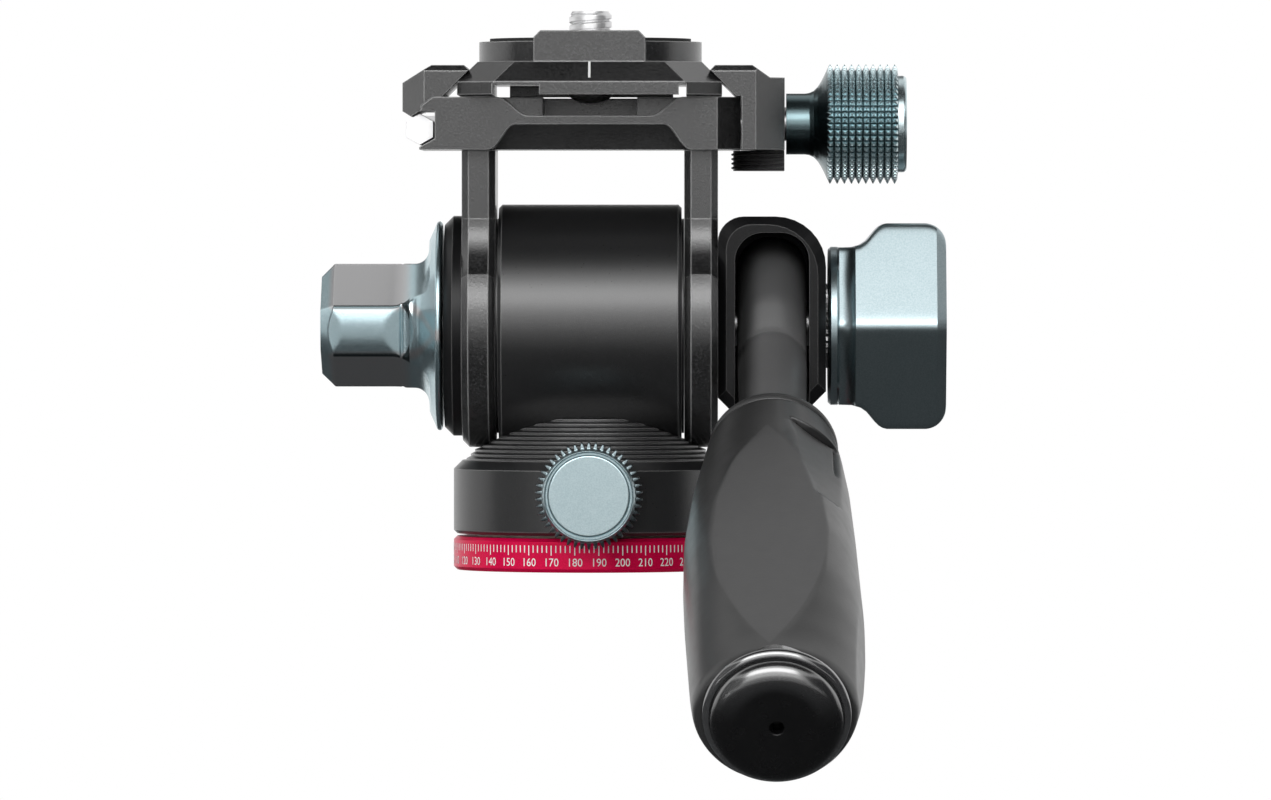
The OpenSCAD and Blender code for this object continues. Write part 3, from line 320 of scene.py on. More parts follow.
def grip_finish():
    """Soft plastic of the grip with painted light: lighter on the thumb rest, and in a lens of two crossing
    circles on top.
    """
    finish = moulded("soft_grip", (0.019, 0.019, 0.0192), (0.026, 0.026, 0.0262), grain=2600,
                     depth=0.01 * MM, rough=0.34, Specular_IOR_Level=0.6)
    across, up = finish.across_handle(), finish.above_handle()
    along = finish.along_handle() - GRIP_FROM * MM
    # Painted light on the thumb rest
    turn = math.radians(REST_TURN)
    plane = (along - REST_FROM * MM) * REST_SLOPE + REST_REACH * MM
    rest_painted_light = 1 - (across * math.cos(turn) + up * math.sin(turn) - plane).size().step(0.1 * MM, 0.6 * MM)
    rest_painted_light = rest_painted_light * along.step(6.4 * MM, 7 * MM) * (1 - along.step(9 * MM, 22 * MM))
    finish.tone = finish.mix(rest_painted_light, finish.tone, (0.05, 0.05, 0.0505))
    # Painted light on the lens-shaped flat on top
    lens_r = (LENS_LENGTH ** 2 + LENS_WIDTH ** 2) / (4 * LENS_WIDTH)
    lens_painted_light = up > 6 * MM
    for side in (-1, 1):
        off = across - (LENS_SHIFT + side * (lens_r - LENS_WIDTH / 2)) * MM
        outside = far(off, along - LENS_MIDDLE * MM).step((lens_r - 0.3) * MM, (lens_r + 0.1) * MM)
        lens_painted_light = lens_painted_light * (1 - outside)
    finish.feed("Base Color", finish.mix(lens_painted_light, finish.tone, (0.042, 0.042, 0.0425)))
    return finish


def cap_finish():
    """Gloss black of the end cap: its coat lies on the upper shoulder, where the highlight is."""
    finish = moulded("gloss_cap", (0.002, 0.002, 0.0022), (0.005, 0.005, 0.0052), grain=1200,
                     depth=0.001 * MM, rough=0.26, Specular_IOR_Level=0.5,
                     Coat_Roughness=0.2, Coat_IOR=2.4)
    up = finish.above_handle()
    shoulder = far(up, finish.across_handle()).step(5.2 * MM, 6.8 * MM)
    finish.feed("Coat Weight", shoulder * up.step(0.0, 6 * MM))
    return finish


black = blasted("black_anodised", (0.002, 0.002, 0.0021), (0.032, 0.032, 0.0325), grain=3000,
                depth=0.026 * MM, rough=(0.2, 0.28), edge=0.3 * MM, edge_wear_and_highlight=(0.3, 0.3, 0.3),
                Metallic=0.0, Specular_IOR_Level=0.95)
turned_black = blasted("black_turned", (0.007, 0.007, 0.0075), (0.015, 0.015, 0.0155), grain=6500,
                       depth=0.014 * MM, rough=(0.26, 0.32), edge=0.2 * MM, edge_wear_and_highlight=(0.16, 0.16, 0.16),
                       Metallic=0.0, Specular_IOR_Level=0.85)
# Darker, less glossy copy of the black for the handle block, cover and catch: its lower tone is painted shade
deep_black = blasted("black_deep", (0.004, 0.004, 0.0045), (0.009, 0.009, 0.0095), grain=6500,
                     depth=0.014 * MM, rough=(0.28, 0.34), edge=0.2 * MM, edge_wear_and_highlight=(0.1, 0.1, 0.1),
                     Metallic=0.0, Specular_IOR_Level=0.2)
satin_black = rod_finish()
steel_blue = blasted("steel_blue", (0.29, 0.36, 0.38), (0.37, 0.44, 0.46), grain=4600, depth=0.008 * MM,
                     rough=(0.27, 0.34), Metallic=1.0)
face_blue = toothed_finish()
knurl_blue = knurled_finish()
milled_blue = milled_finish()
crimson = blasted("crimson", (0.6, 0.0, 0.045), (0.76, 0.0, 0.075), grain=5200, depth=0.006 * MM,
                  rough=(0.26, 0.34), Metallic=0.3, Specular_IOR_Level=0.2)
steel = plain_metal("steel", (0.46, 0.46, 0.47), (0.62, 0.62, 0.62), rough=0.3, Metallic=1.0)
bright_steel = plain_metal("bright_steel", (0.76, 0.76, 0.77), (0.86, 0.86, 0.86), rough=0.34, Metallic=0.75)
bronze = plain_metal("bronze", (0.34, 0.19, 0.07), (0.48, 0.3, 0.12), rough=0.4, Metallic=1.0)
slip_plastic = moulded("slip_plastic", (0.66, 0.62, 0.52), (0.78, 0.75, 0.66), grain=1500,
                       depth=0.01 * MM, rough=0.45)
soft_grip = grip_finish()
ring_black = moulded("ring_black", (0.02, 0.02, 0.021), (0.03, 0.03, 0.031), grain=1500,
                     depth=0.002 * MM, rough=0.2, Specular_IOR_Level=1.0,
                     Coat_Weight=1.0, Coat_Roughness=0.12, Coat_IOR=2.2)
gloss_cap = cap_finish()
rubber = moulded("rubber", (0.01, 0.01, 0.01), (0.02, 0.02, 0.02), grain=3000, depth=0.03 * MM, rough=0.7,
                 Specular_IOR_Level=0.3)
white_paint = moulded("white_paint", (0.78, 0.78, 0.78), (0.86, 0.86, 0.86), grain=1500,
                      depth=0.002 * MM, rough=0.5)

# Finish of each material slot, and of the nodes whose look differs from their slot's
slot_finish = {"black_anodised": black, "steel_blue": steel_blue, "crimson": crimson, "steel": steel,
               "bright_steel": bright_steel, "bronze": bronze, "slip_plastic": slip_plastic,
               "soft_grip": soft_grip, "gloss_cap": gloss_cap, "rubber": rubber}
node_finish = {"tilt_barrel": turned_black, "tilt_bushes": turned_black, "pan_body": turned_black,
               "handle_block": deep_black, "drag_cover": deep_black, "safety_catch": deep_black,
               "handle_rod": satin_black}
node_slot = {part["node"]: part["material_slot"] for part in frame["record"]["subparts"]}
for name, node in nodes.items():
    finish = node_finish.get(name, slot_finish[node_slot[name]])
    node.data.materials.clear()
    node.data.materials.append(finish.material)


def piece(name, points, faces, body, finish, crease=35.0, instead=()):
    """Object of points in millimetres and faces that rides a body, smooth up to a crease angle in degrees."""
    mesh = bpy.data.meshes.new(name)
    mesh.from_pydata((np.asarray(points) * MM).tolist(), [], faces)
    mesh.polygons.foreach_set("use_smooth", np.ones(len(mesh.polygons), dtype=bool))
    mesh.set_sharp_from_angle(angle=math.radians(crease))
    mesh.materials.append(finish.material)
    made = bpy.data.objects.new(name, mesh)
    scene.collection.objects.link(made)
    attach(made, body)
    if instead:
        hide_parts(*instead)


def skin(name, rings, body, finish, crease, instead):
    """Closed skin over rings of points in millimetres.

    Point j of ring i is joined to its neighbours j + 1 and i + 1 by a quad; each end ring is closed by a fan
    about its mean point. The faces are turned over where the signed volume comes out negative.
    """
    rows, columns = rings.shape[:2]
    points = np.vstack([rings.reshape(-1, 3), rings[0].mean(axis=0), rings[-1].mean(axis=0)])
    here = np.arange(rows * columns).reshape(rows, columns)
    beside = np.roll(here, -1, axis=1)
    quads = np.stack([here[:-1], beside[:-1], beside[1:], here[1:]], axis=-1).reshape(-1, 4)
    low = np.stack([beside[0], here[0], np.full(columns, rows * columns)], axis=-1)
    high = np.stack([here[-1], beside[-1], np.full(columns, rows * columns + 1)], axis=-1)
    fans = np.vstack([low, high])
    triangles = np.vstack([quads[:, [0, 1, 2]], quads[:, [0, 2, 3]], fans])
    a, b, c = (points[triangles[:, k]] for k in range(3))
    if np.einsum("ij,ij->i", a, np.cross(b, c)).sum() < 0:
        quads, fans = quads[:, ::-1], fans[:, ::-1]
    piece(name, points, quads.tolist() + fans.tolist(), body, finish, crease, instead)


def turns(count):
    """That many equal angles around a circle, as a row."""
    return np.linspace(0, 2 * np.pi, count, endpoint=False)[None, :]


def stations(*marks):
    """Column of places: each mark is (start, end, steps), and each run but the last leaves out its end."""
    runs = [np.linspace(start, end, steps, endpoint=False) for start, end, steps in marks]
    return np.concatenate(runs + [[marks[-1][1]]])[:, None]


def bounded(angle, planes, power):
    """Sum of (max(cos(angle - normal), 0) / distance) ** power over planes.

    To the power -1 / power it is the radius of the outline that the planes bound, rounded at its corners.
    """
    total = 0.0
    for normal, distance in planes:
        total = total + (np.maximum(np.cos(angle - math.radians(normal)), 0) / distance) ** power
    return total


def soft_max(first, second, width):
    """Larger of two values with a fillet of that width.

    It is their mean plus half the root of (difference² + width²).
    """
    return (first + second + np.sqrt((first - second) ** 2 + width ** 2)) / 2


def soft_step(value, low, high):
    """Rise from 0 at low to 1 at high by 3t² - 2t³."""
    t = np.clip((value - low) / (high - low), 0, 1)
    return t * t * (3 - 2 * t)


def share(value, start, end):
    """Rise from 0 at start to 1 at end along a straight line."""
    return np.clip((value - start) / (end - start), 0, 1)


def eased(place, marks, values):
    """Column of values at places between marks, drawn straight and then smoothed over a few neighbours."""
    samples, window = 400, 31
    even = np.linspace(place[0], place[-1], samples)
    weights = np.hanning(window) / np.hanning(window).sum()
    straight = np.pad(np.interp(even, marks, values), window // 2, mode="reflect", reflect_type="odd")
    return np.interp(place, even, np.convolve(straight, weights, "valid"))[:, None]


def saw(value):
    """Triangle wave: 0 at whole numbers, 1 half way between."""
    return 1 - np.abs(2 * (value - np.floor(value)) - 1)


def about_x(x, angle, radius, z):
    """Points at a radius and an angle (from the front, upwards) about an axis along X at a height z."""
    x, angle, radius = np.broadcast_arrays(x, angle, radius)
    return np.stack([x, -radius * np.cos(angle), z + radius * np.sin(angle)], axis=-1)


def on_handle(across, up, along):
    """Points across, above and along the handle, from the tilt axis, in the part's frame."""
    across, up, along = np.broadcast_arrays(across, up, along)
    y = -along * math.cos(DROP) - up * math.sin(DROP)
    z = TILT_Z - along * math.sin(DROP) + up * math.cos(DROP)
    return np.stack([SLOT_X + across, y, z], axis=-1)


def handle_knob():
    """Six-sided knob about X: radius = rounded outline of four sloping sides, a height and a depth limit.

    The sides and the depth grow from the collar through a quarter-round hollow and end in a bevel. The
    height follows an S-shaped shoulder and ends in a quarter round; the collar is a disc with a broken edge.
    """
    start, end, collar_r, edge, power = 35.41, 52.91, 11.8, 0.4, 60
    body, hollow, bevel, bevel_cut, end_r = start + 1.6, 2.4, 1.4, 0.09, 3.2
    slope, side, half_d = 23.96, 12.976, 14.2
    x = stations((start, start + edge, 4), (start + edge, body, 4), (body, body + hollow, 40),
                 (body + hollow, body + 8, 44), (body + 8, end - 3.6, 14), (end - 3.6, end - bevel, 20),
                 (end - bevel, end, 24))
    height = np.interp(x - start, [1.6, 3.5, 4.75, 5.66, 6.27, 6.88, 7.49, 8.1, 8.7],
                       [11.7, 11.75, 12.1, 12.72, 13.45, 14.2, 14.8, 15.15, 15.3])
    height = height - end_r * (1 - np.sqrt(1 - share(x, end - end_r, end) ** 2))
    grown = share(x, body, body + hollow)
    reach = 1 - (1 - collar_r / half_d) * np.sqrt(1 - grown ** 2) - bevel_cut * share(x, end - bevel, end)
    angle = turns(288)
    planes = [(normal, side * reach) for normal in (slope, 180 - slope, 180 + slope, -slope)]
    planes += [(90, height), (-90, height), (0, half_d * reach), (180, half_d * reach)]
    collar = collar_r - edge + edge * share(x, start, start + edge)
    radius = np.where(x < body, collar, bounded(angle, planes, power) ** (-1 / power))
    rings = about_x(x, angle, radius, TILT_Z)
    skin("handle_knob_form", rings, "handle_lock", steel_blue, crease=28, instead=["handle_knob"])


def tilt_knob():
    """Knob about X: radius = rounded outline of a turned blank, three flats and three ribs, per station.

    The blank has a round rim, a hollow flare bar + rise * (share left) ** bend and a bar. Each flat rises
    through a quarter-round hollow towards the flange, and so do the planes of the brim above and below. Each
    rib between the flats bulges by across² / (2 * bulge), root solved for the radius, and is cut down by a
    sloping plane at both ends; its neck rises to the flange by a square behind a bell-shaped crease. A plane
    is moved far out at the stations that it doesn't reach.
    """
    face, length, bar_r, power, chamfer, far_out = -22.0, 18.1, 9.3, 200, 2.0, 30
    rim_end, flare_end, rise, bend, spare = 0.9, 4.75, 6.0, 1.6, 0.6
    wall, hollow, end_slope = 1.75, 5.6, 0.8
    bulge, rib_from, rib_rise, rib_to, rib_fall = 15.0, 6.3, 2.5, 16.9, 2.0
    neck_from, neck_curve, crease_at, crease_width, crease_depth = 6.1, 0.35, 6.0, 0.2, 0.2
    brim_from, brim_to, brim_up = 2.0, 4.15, 9.27
    run = stations((0, rim_end, 16), (rim_end, wall, 14), (wall, 4.0, 40), (4.0, 6.4, 30), (6.4, 9.2, 24),
                   (9.2, 14.2, 8), (14.2, length, 60))
    angle = turns(480)
    rim = np.interp(run, [0, 0.08, 0.25, 0.45, 0.65, 0.8, rim_end],
                    [15.05, 15.35, 15.55, 15.6, 15.56, 15.47, 15.3])
    flare = bar_r + rise * np.clip((flare_end - run) / (flare_end - rim_end), 0, 1) ** bend
    ending = np.maximum(run - length + chamfer, 0)
    bar = flare + spare * soft_step(run, 3, 6) - np.maximum(run - length + chamfer + spare, 0)
    blank = np.where(run < rim_end, rim, bar)
    inside = far_out * (run < wall)
    into = np.clip(wall + hollow - run, 0, hollow)
    flat = FLAT + hollow - np.sqrt(hollow ** 2 - into ** 2) - end_slope * ending + inside
    half = math.radians(60) - math.acos(FLAT / bar_r)
    low, swell = bar_r * math.cos(half), (bar_r * math.sin(half)) ** 2 / (2 * bulge)
    ramp = np.clip(np.minimum((run - rib_from) / rib_rise, (rib_to - run) / rib_fall), 0, 1)
    crease = crease_depth * np.exp(-((run - crease_at) / crease_width) ** 2)
    neck = neck_curve * np.maximum(neck_from - run, 0) ** 2 - crease + inside
    brim_r = brim_to - brim_from
    into = np.clip(brim_to - run, 0, brim_r)
    brim = brim_up + brim_r - np.sqrt(brim_r ** 2 - into ** 2) + far_out * (run < brim_from)
    planes = [(turn, flat) for turn in FLAT_TURNS] + [(90, brim), (270, brim)]
    inverse = blank ** -power + bounded(angle, planes, power)
    peak = low + swell + neck
    for turn in FLAT_TURNS:
        off = angle - math.radians(turn - 60)
        cos, sin = np.maximum(np.cos(off), 0), np.sin(off)
        rib = 2 * peak / (cos + np.sqrt(cos ** 2 + 2 * peak * sin ** 2 / bulge))
        inverse = inverse + rib ** -power + (cos / (low + swell * ramp + neck)) ** power
    radius = inverse ** (-1 / power)
    rings = about_x(face - run, angle, radius, TILT_Z)
    skin("tilt_knob_form", rings, "tilt_lock", milled_blue, crease=24, instead=["tilt_knob"])


def clamp_knob():
    """Knob turned about X: a flared neck, a band of pyramids and a disc.

    In the band radius = root + depth * min(saw of x, saw of the angle). Both waves have a whole number of
    teeth and blunt points.
    """
    start, end, neck, neck_r, flare, band = 29.2, 47.1, 2.8, 4.55, 3.2, 10.7
    peak_r, depth, teeth_along, teeth_around, blunt = 8.93, 0.95, 10, 58, 0.93
    disc_r, edge = 7.2, 0.3
    flare_x = start + neck
    band_x = flare_x + flare
    band_end = band_x + band
    x = stations((start, flare_x, 4), (flare_x, band_x, 20), (band_x, band_end, teeth_along * 8),
                 (band_end, band_end + 0.3, 2), (band_end + 0.3, band_end + 1.0, 3),
                 (band_end + 1.0, end, 5))
    angle = turns(teeth_around * 8)
    flared = np.interp(x, flare_x + flare * np.array([0, 0.2, 0.4, 0.6, 0.75, 0.88, 0.96, 1.0]),
                       [neck_r, 4.65, 4.95, 5.6, 6.35, 7.15, 7.7, 8.0])
    teeth = np.minimum(saw((x - band_x) / (band / teeth_along)), saw(angle / (2 * np.pi) * teeth_around))
    teeth = peak_r - depth + depth * np.minimum(teeth, blunt) / blunt
    disc = np.interp(x, [end - edge, end], [disc_r, disc_r - edge])
    radius = np.where(x < band_x, flared, np.where(x < band_end, teeth, disc))
    rings = about_x(x, angle, radius, CLAMP_Z)
    skin("clamp_knob_form", rings, "clamp_lock", knurl_blue, crease=20, instead=["clamp_knob"])


def pan_knob():
    """Toothed knob about Y: radius = the outline's radius + tooth * its share of the tooth wave.

    Each row of the outline is (distance from the back, radius, share). The wave is a soft step of
    cos(teeth * angle).
    """
    back, teeth, tooth = -20.7, 46, 1.0
    outline = np.array([
        [0.0, 5.6, 0], [0.0, 6.4, 0], [0.25, 6.7, 0], [1.2, 6.75, 0], [1.6, 6.85, 0], [2.0, 6.9, 0.7],
        [2.4, 6.9, 1], [5.8, 6.9, 1], [6.1, 6.9, 0.97], [6.25, 6.9, 0.9], [6.33, 6.9, 0.75],
        [6.37, 6.92, 0.15], [6.4, 6.95, 0], [7.1, 6.88, 0], [7.7, 6.74, 0], [7.9, 6.66, 0],
        [7.96, 6.58, 0], [7.92, 6.5, 0], [7.8, 6.46, 0], [7.0, 6.42, 0], [6.95, 6.36, 0], [6.95, 6.08, 0],
        [7.0, 6.02, 0], [7.66, 5.98, 0], [7.8, 5.92, 0], [7.84, 5.82, 0], [7.84, 5.72, 0], [7.84, 3.0, 0]])
    angle = turns(teeth * 10)
    wave = soft_step(np.cos(teeth * angle), -0.75, 0.85)
    radius = outline[:, 1:2] + tooth * outline[:, 2:3] * wave
    y = back - outline[:, 0:1] + 0 * angle
    rings = np.stack([radius * np.sin(angle), y, PAN_LOCK_Z + radius * np.cos(angle)], axis=-1)
    skin("pan_knob_form", rings, "pan_lock", face_blue, crease=32, instead=["pan_knob"])


def handle_rod():
    """Rod with an eye at its end, along the handle: each section is an upright oval.

    The oval has two half circles and straight sides. Its height follows the eye's circle and passes into the
    rod through a fillet; its width narrows at the eye's back.
    """
    eye_r, rim, rod_r, fillet, end = 13.3, 5.15, 5.0, 4.4, 117
    along = stations((-eye_r, -13.1, 6), (-13.1, -8, 24), (-8, 8, 24), (8, 20, 60), (20, end, 20))
    angle = turns(128)
    arch = eye_r ** 2 - along ** 2
    eye = np.sign(arch) * np.sqrt(np.abs(arch))
    back = np.clip(rim - eye_r - along, 0, rim)
    wide = np.sqrt(np.maximum(rim ** 2 - back ** 2, 0)) - (rim - rod_r) * soft_step(along, 12, 24)
    tall = np.where(along < 4, eye, soft_max(eye, rod_r, fillet * soft_step(along, 4, 11)))
    lift = np.maximum(tall - wide, 0)
    cos, sin = np.abs(np.cos(angle)), np.abs(np.sin(angle))
    straight = wide / np.maximum(cos, 1e-6)
    round_end = lift * sin + np.sqrt(np.maximum(wide ** 2 - (lift * cos) ** 2, 0))
    radius = np.where(straight * sin < lift, straight, round_end)
    rings = on_handle(radius * np.cos(angle), radius * np.sin(angle), along)
    skin("handle_rod_form", rings, "handle", satin_black, crease=40, instead=["handle_rod"])


def grip():
    """Swelling grip along the handle: radius = a rounded outline of an ellipse and three planes per station.

    The ellipse has its own left, right, top and bottom half sizes. A leaning top plane cuts a lens-shaped
    flat into it: the top half size follows from the lens's half width. A plane behind a step makes the thumb
    rest, with a bell-shaped groove at its head and along its edge; another plane cuts the right side.
    """
    length, power, top_turn, side_turn = 79.6, 200, 93, 10
    start_edge, start_drop, end_round, end_drop = 0.5, 0.4, 2.4, 0.9
    step_from, step_to, step_up = 6.2, 6.6, 3
    fade_from, fade_to, fade_up = 30, 40, 6
    groove_at, groove_turn, groove_bow, groove_width, groove_depth = 6.75, 50, 0.0012, 0.22, 1.3
    edge_from, edge_turn, edge_lean, edge_width, edge_depth = 7.7, 27, 0.62, 1.6, 0.7
    along = stations((0, start_edge, 4), (start_edge, 5.6, 16), (5.6, 7.6, 40), (7.6, 40, 96), (40, 75, 84),
                     (75, length, 36))
    at = along[:, 0]
    angle = turns(320)
    angle = angle + 0.5 * np.cos(angle)
    marks = [0, 5, 15, 30, 44, 54, 62, 70, 75, length]
    left = eased(at, marks, [9.7, 10.4, 11.8, 13.0, 13.1, 12.9, 12.6, 12.3, 12.1, 11.7])
    right = eased(at, marks, [9.4, 10.1, 11.0, 11.7, 12.2, 12.6, 12.8, 12.5, 12.0, 11.2])
    under = eased(at, marks, [9.5, 10.2, 11.4, 12.6, 12.9, 12.8, 12.5, 12.1, 11.7, 11.2])
    flat = eased(at, [0, 8, 44, 77], [9.9, 9.9, 9.85, 9.45])
    lens = eased(at, [0, 8.5, 13.6, 18.6, 31, 42.5, 55, 63, 71, 76.5],
                 [0, 0, 2.7, 5.2, 7.9, 8.6, 7.7, 6.0, 3.3, 0])
    over = flat / np.sqrt(1 - (lens / left) ** 2)
    cos, sin = np.cos(angle), np.sin(angle)
    wide = np.where(cos > 0, right, left)
    tall = np.where(sin > 0, over, under)
    ellipse = 1 / np.sqrt((cos / wide) ** 2 + (sin / tall) ** 2)
    before = step_up * (1 - soft_step(along, step_from, step_to))
    beyond = fade_up * soft_step(along, fade_from, fade_to)
    rest = REST_REACH + REST_SLOPE * (along - REST_FROM) + before + beyond
    side = eased(at, [0, 40, 52, 77], [16, 13.6, 12.6, 11.5])
    planes = [(top_turn, flat), (REST_TURN, rest), (side_turn, side)]
    radius = (ellipse ** -power + bounded(angle, planes, power)) ** (-1 / power)
    around = np.degrees(angle) % 360
    groove = np.exp(-((along - groove_at + groove_bow * (around - groove_turn) ** 2) / groove_width) ** 2)
    groove = groove * soft_step(around, 22, 28) * (1 - soft_step(around, 70, 78))
    edge = np.exp(-((around - edge_turn - edge_lean * (along - edge_from)) / edge_width) ** 2)
    edge = edge * soft_step(along, 6.4, 7.4) * (1 - soft_step(along, 15, 18))
    radius = radius - groove_depth * groove - edge_depth * edge
    turned = share(along, length - end_round, length)
    radius = radius - end_drop * (1 - np.sqrt(1 - turned ** 2))
    radius = radius - start_drop * (1 - share(along, 0, start_edge))
    rings = on_handle(radius * cos, radius * sin, GRIP_FROM + along)
    skin("grip_form", rings, "handle", soft_grip, crease=50, instead=["grip"])


def turned_on_handle(name, outline, finish, instead):
    """Skin turned about the handle from an outline of (distance from the grip's start, radius)."""
    angle = turns(160)
    along, radius = outline[:, :1], outline[:, 1:]
    rings = on_handle(radius * np.cos(angle), radius * np.sin(angle), GRIP_FROM + along)
    skin(name, rings, "handle", finish, crease=40, instead=instead)


def handle_end():
    """Turned ring with a lip and the seat of the end cap, and the cap: a quarter oval around a hole."""
    ring = np.array([[76.5, 6.0], [76.5, 9.4], [79.2, 9.7], [79.4, 10.1], [79.65, 10.33], [79.95, 10.45],
                     [80.25, 10.43], [80.5, 10.32], [80.7, 10.15], [80.88, 9.93], [81.0, 9.7], [81.04, 9.5],
                     [80.9, 9.4], [80.9, 8.0]])
    turned_on_handle("cap_ring_form", ring, ring_black, ["cap_ring"])
    start, end, cap_r, hole = 81.15, 84.0, 9.3, 1.0
    shoulder, shoulder_length, shoulder_r = 2.4, 2.35, 3.6
    bend = np.linspace(0, np.pi / 2, 20)
    cap = np.vstack([
        [[start, 8.0], [start, 8.8], [start + 0.1, 9.1], [start + 0.4, cap_r]],
        np.stack([end - shoulder + shoulder_length * np.sin(bend),
                  cap_r - shoulder_r + shoulder_r * np.cos(bend)], axis=1),
        [[end, 3.0], [end, hole + 0.25], [end - 0.07, hole + 0.08], [end - 0.25, hole], [end - 3, hole]]])
    turned_on_handle("end_cap_form", cap, gloss_cap, ["end_cap"])


def camera_screw():
    """Threaded screw about Z: radius = crest less depth * saw of (height / pitch less the share of a turn).

    The saw's foot is cut flat and the thread fades out at both its ends. Below it are a neck and a wide
    head with a dome.
    """
    crest, depth, pitch, low, high = 3.17, 0.42, 1.27, 78.6, 83.2
    steep, foot, fade_in, fade_out = 2.4, 1.4, 0.6, 0.7
    head, head_top, head_r, neck_r, edge, dome_h, dome_r = 71.1, 71.9, 6.0, 2.68, 0.1, 1.6, 3.4
    bend = np.linspace(0.1, np.pi / 2, 10)
    dome = np.stack([head - dome_h * np.cos(bend), dome_r * np.sin(bend)], axis=1)
    outline = np.vstack([dome, [
        [head, head_r - 2 * edge], [head + edge, head_r], [head_top - edge, head_r],
        [head_top, head_r - 2 * edge], [head_top, neck_r], [low - edge, neck_r]]])
    angle = turns(96)
    thread = np.linspace(low, high, 140)[:, None]
    fade = soft_step(thread, low, low + fade_in) * (1 - soft_step(thread, high - fade_out, high))
    wave = np.clip(steep * saw(thread / pitch - angle / (2 * np.pi)) - foot, 0, 1)
    threaded = crest - depth * (1 - fade) - depth * fade * wave
    plain = np.broadcast_to(outline[:, 1:], (len(outline), angle.size))
    radius = np.vstack([plain, threaded])
    plain_z = np.broadcast_to(outline[:, :1], plain.shape)
    height = np.vstack([plain_z, np.broadcast_to(thread, threaded.shape)])
    rings = np.stack([radius * np.cos(angle), radius * np.sin(angle), height], axis=-1)
    skin("camera_screw_form", rings, "camera_screw", bright_steel, crease=40, instead=["camera_screw"])


def on_ring(turn, radius, height):
    """Points bent onto a ring: radius * (sin, -cos) of a turn from the front, at a height."""
    return np.stack([radius * np.sin(turn), -radius * np.cos(turn), height], axis=1)


def scale_marks():
    """Ticks each two degrees around the scale ring and plain numbers in tens, bent onto its wall."""
    radius, zero, half, top, short, long = 20.42, -6.0, 0.08, 4.0, 2.95, 2.55
    tick_step, number_step, front_number = 2, 10, 180
    letter_size, letter_z, narrow = 1.7, 0.95, 0.92
    points, faces, count = [], [], 0
    for k in range(360 // tick_step):
        middle = math.radians(zero + tick_step * k)
        low = short if tick_step * k % number_step else long
        turn = middle + np.array([-half, half, half, -half]) / radius
        points.append(on_ring(turn, radius, np.array([low, low, top, top])))
        faces.append([count, count + 1, count + 2, count + 3])
        count += 4
    for k in range(360 // number_step):
        letter = bpy.data.curves.new("number", "FONT")
        letter.body = str((front_number + number_step * k) % 360)
        letter.align_x = "CENTER"
        letter.size = letter_size
        letter.resolution_u = 3
        holder = bpy.data.objects.new("number", letter)
        scene.collection.objects.link(holder)
        mesh = holder.to_mesh()
        flat = np.empty(len(mesh.vertices) * 3)
        mesh.vertices.foreach_get("co", flat)
        flat = flat.reshape(-1, 3)
        turn = math.radians(zero + number_step * k) + flat[:, 0] * narrow / radius
        points.append(on_ring(turn, radius, letter_z + flat[:, 1]))
        faces += [[v + count for v in face.vertices] for face in mesh.polygons]
        count += len(flat)
        bpy.data.objects.remove(holder)
    piece("scale_marks", np.vstack(points), faces, "base", white_paint)


def plate_line():
    """White line down the front slope of the plate: a thin sloping panel."""
    low, high, half, lift = (-19.95, 73.05), (-17.55, 75.45), 0.17, 0.03
    points = [(side * half, y - lift, z + lift) for y, z in (low, high) for side in (-1, 1)]
    piece("plate_line", points, [[0, 1, 3, 2]], "plate", white_paint)


handle_knob()
tilt_knob()
clamp_knob()
pan_knob()
handle_rod()
grip()
handle_end()
camera_screw()
scale_marks()
plate_line()

# The photo: its size, its scale at the tilt axis, and where the pan axis and the foot of the base lie in it
IMAGE_W, IMAGE_H = 1271, 800
PIXELS_PER_MM = 6.7
AXIS_X, BASE_Y = 590.5, 569.0

# Staging: heights of the floor and of the dark card over it, in metres
FLOOR_Z = -0.1
CARD_Z = -0.096


def aimed(place, target):
    """Angles of a camera or lamp at a place that faces a target."""
    return (Vector(target) - Vector(place)).to_track_quat("-Z", "Y").to_euler()


def photo_camera(distance, centre_x, centre_z):
    """Camera at the photo's angle: from a point before the part it looks at the middle of the picture."""
    camera = bpy.data.cameras.new("photo_camera")
    holder = bpy.data.objects.new("photo_camera", camera)
    scene.collection.objects.link(holder)
    width = IMAGE_W / PIXELS_PER_MM * MM
    camera.sensor_width = 36.0
    camera.lens = camera.sensor_width * distance / width
    camera.clip_end = 20.0
    middle = Vector((IMAGE_W / 2 - AXIS_X, 0, BASE_Y - IMAGE_H / 2)) * (MM / PIXELS_PER_MM)
    holder.location = (centre_x, -distance, centre_z)
    holder.rotation_euler = aimed(holder.location, middle)
    scene.camera = holder


def soft_light(name, place, target, size, watts):
    """Area lamp that faces a point."""
    lamp = bpy.data.lights.new(name, "AREA")
    lamp.shape = "RECTANGLE"
    lamp.size, lamp.size_y = size
    lamp.energy = watts
    holder = bpy.data.objects.new(name, lamp)
    holder.location = place
    holder.rotation_euler = aimed(place, target)
    scene.collection.objects.link(holder)


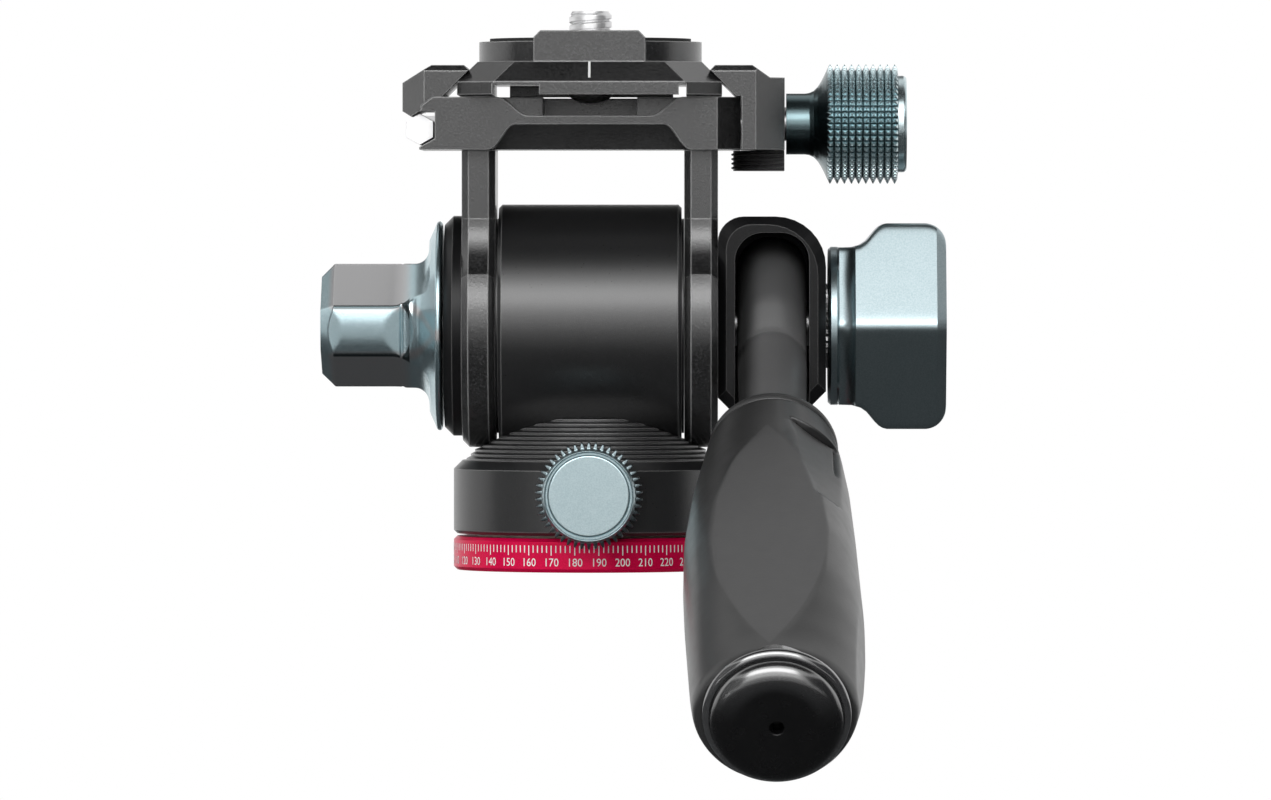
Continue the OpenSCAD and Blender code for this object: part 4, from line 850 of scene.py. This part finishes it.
def studio_world(level):
    """Grey studio light at that level; rays of the camera and of mirrors see a white room."""
    world = bpy.data.worlds.new("studio")
    scene.world = world
    world.use_nodes = True
    tree = world.node_tree
    tree.nodes.clear()
    path = tree.nodes.new("ShaderNodeLightPath")
    seen = path.outputs["Is Camera Ray"]
    for kind in ("Is Glossy Ray", "Is Transmission Ray"):
        either = tree.nodes.new("ShaderNodeMath")
        either.operation = "MAXIMUM"
        tree.links.new(seen, either.inputs[0])
        tree.links.new(path.outputs[kind], either.inputs[1])
        seen = either.outputs[0]
    mixer = tree.nodes.new("ShaderNodeMixShader")
    tree.links.new(seen, mixer.inputs[0])
    for socket, strength in ((1, level), (2, 1.0)):
        room = tree.nodes.new("ShaderNodeBackground")
        room.inputs["Color"].default_value = (1, 1, 1, 1)
        room.inputs["Strength"].default_value = strength
        tree.links.new(room.outputs[0], mixer.inputs[socket])
    out = tree.nodes.new("ShaderNodeOutputWorld")
    tree.links.new(mixer.outputs[0], out.inputs["Surface"])


def panel(name, corners, finish):
    """Four-cornered staging panel."""
    mesh = bpy.data.meshes.new(name)
    mesh.from_pydata(corners, [], [(0, 1, 2, 3)])
    mesh.materials.append(finish.material)
    made = bpy.data.objects.new(name, mesh)
    scene.collection.objects.link(made)
    return made


def card(name, corners, finish):
    """Staging panel that only reflections see."""
    made = panel(name, corners, finish)
    made.visible_camera = made.visible_shadow = made.visible_diffuse = False


def card_finish(name):
    return Finish(name, Roughness=0.9, Specular_IOR_Level=0.0, Base_Color=(0, 0, 0), Emission_Strength=1.0)


def glow(name, low_level, high_level, start, end, axis):
    """Finish of a card that glows from one grey to another along an axis."""
    finish = card_finish(name)
    risen = finish.axis(axis).step(start, end)
    finish.feed("Emission Color", finish.mix(risen, (low_level,) * 3, (high_level,) * 3))
    return finish


scene.view_settings.view_transform = "Standard"
photo_camera(distance=1.7, centre_x=0.016, centre_z=0.050)
soft_light("front_box", place=(-0.1, -1.05, 0.68), target=(0, 0, 0.04), size=(1.6, 1.5), watts=6.0)
soft_light("front_core", place=(-0.1, -1.0, 0.6), target=(0, 0, 0.04), size=(1.3, 0.42), watts=6.2)
soft_light("left_strip", place=(-1.0, -0.6, 0.2), target=(0, 0, 0.03), size=(0.35, 0.7), watts=4)
studio_world(level=0.15)

# The floor shows as white to the camera and as pale grey to all other rays
pale = Finish("pale_floor", Roughness=0.8, Specular_IOR_Level=0.1, Emission_Strength=0.8)
pale.feed("Base Color", pale.mix(pale.noise(3.0, 2.0), (0.8, 0.8, 0.8), (0.86, 0.86, 0.86)))
by_camera = pale.add("ShaderNodeLightPath")
pale.feed("Emission Color", pale.mix(by_camera, (0, 0, 0), (1, 1, 1)))
panel("floor", [(-0.6, -0.6, FLOOR_Z), (0.6, -0.6, FLOOR_Z), (0.6, 0.4, FLOOR_Z), (-0.6, 0.4, FLOOR_Z)],
      pale)

# Cards around the part, which shape the reflections on metal and gloss
dark = card_finish("dark_card")
dark.feed("Emission Color", dark.mix(dark.noise(2.0, 2.0), (0.06, 0.062, 0.064), (0.08, 0.083, 0.086)))
top = glow("top_card", 0.05, 0.85, start=0.0, end=0.42, axis=1)
behind = glow("back_card", 0.1, 0.16, start=0.3, end=1.2, axis=2)
before = glow("low_card", 0.4, 0.6, start=-0.4, end=0.1, axis=2)
card("dark_card", [(-0.9, -0.5, CARD_Z), (0.9, -0.5, CARD_Z), (0.9, 0.5, CARD_Z), (-0.9, 0.5, CARD_Z)], dark)
card("top_card", [(-1, -0.62, 0.9), (-1, 0.9, 0.9), (1, 0.9, 0.9), (1, -0.62, 0.9)], top)
card("back_card", [(-1.6, 1.3, 0.4), (0.15, 1.3, 0.4), (0.15, 1.3, 1.3), (-1.6, 1.3, 1.3)], behind)
card("low_card", [(-0.9, -1.46, -0.4), (0.9, -1.46, -0.4), (0.9, -1.46, 0.05), (-0.9, -1.46, 0.05)], before)
for x in (-0.8, 0.8):
    card("side_card", [(x, -1.2, CARD_Z), (x, 0.0, CARD_Z), (x, 0.0, 0.5), (x, -1.2, 0.5)], dark)
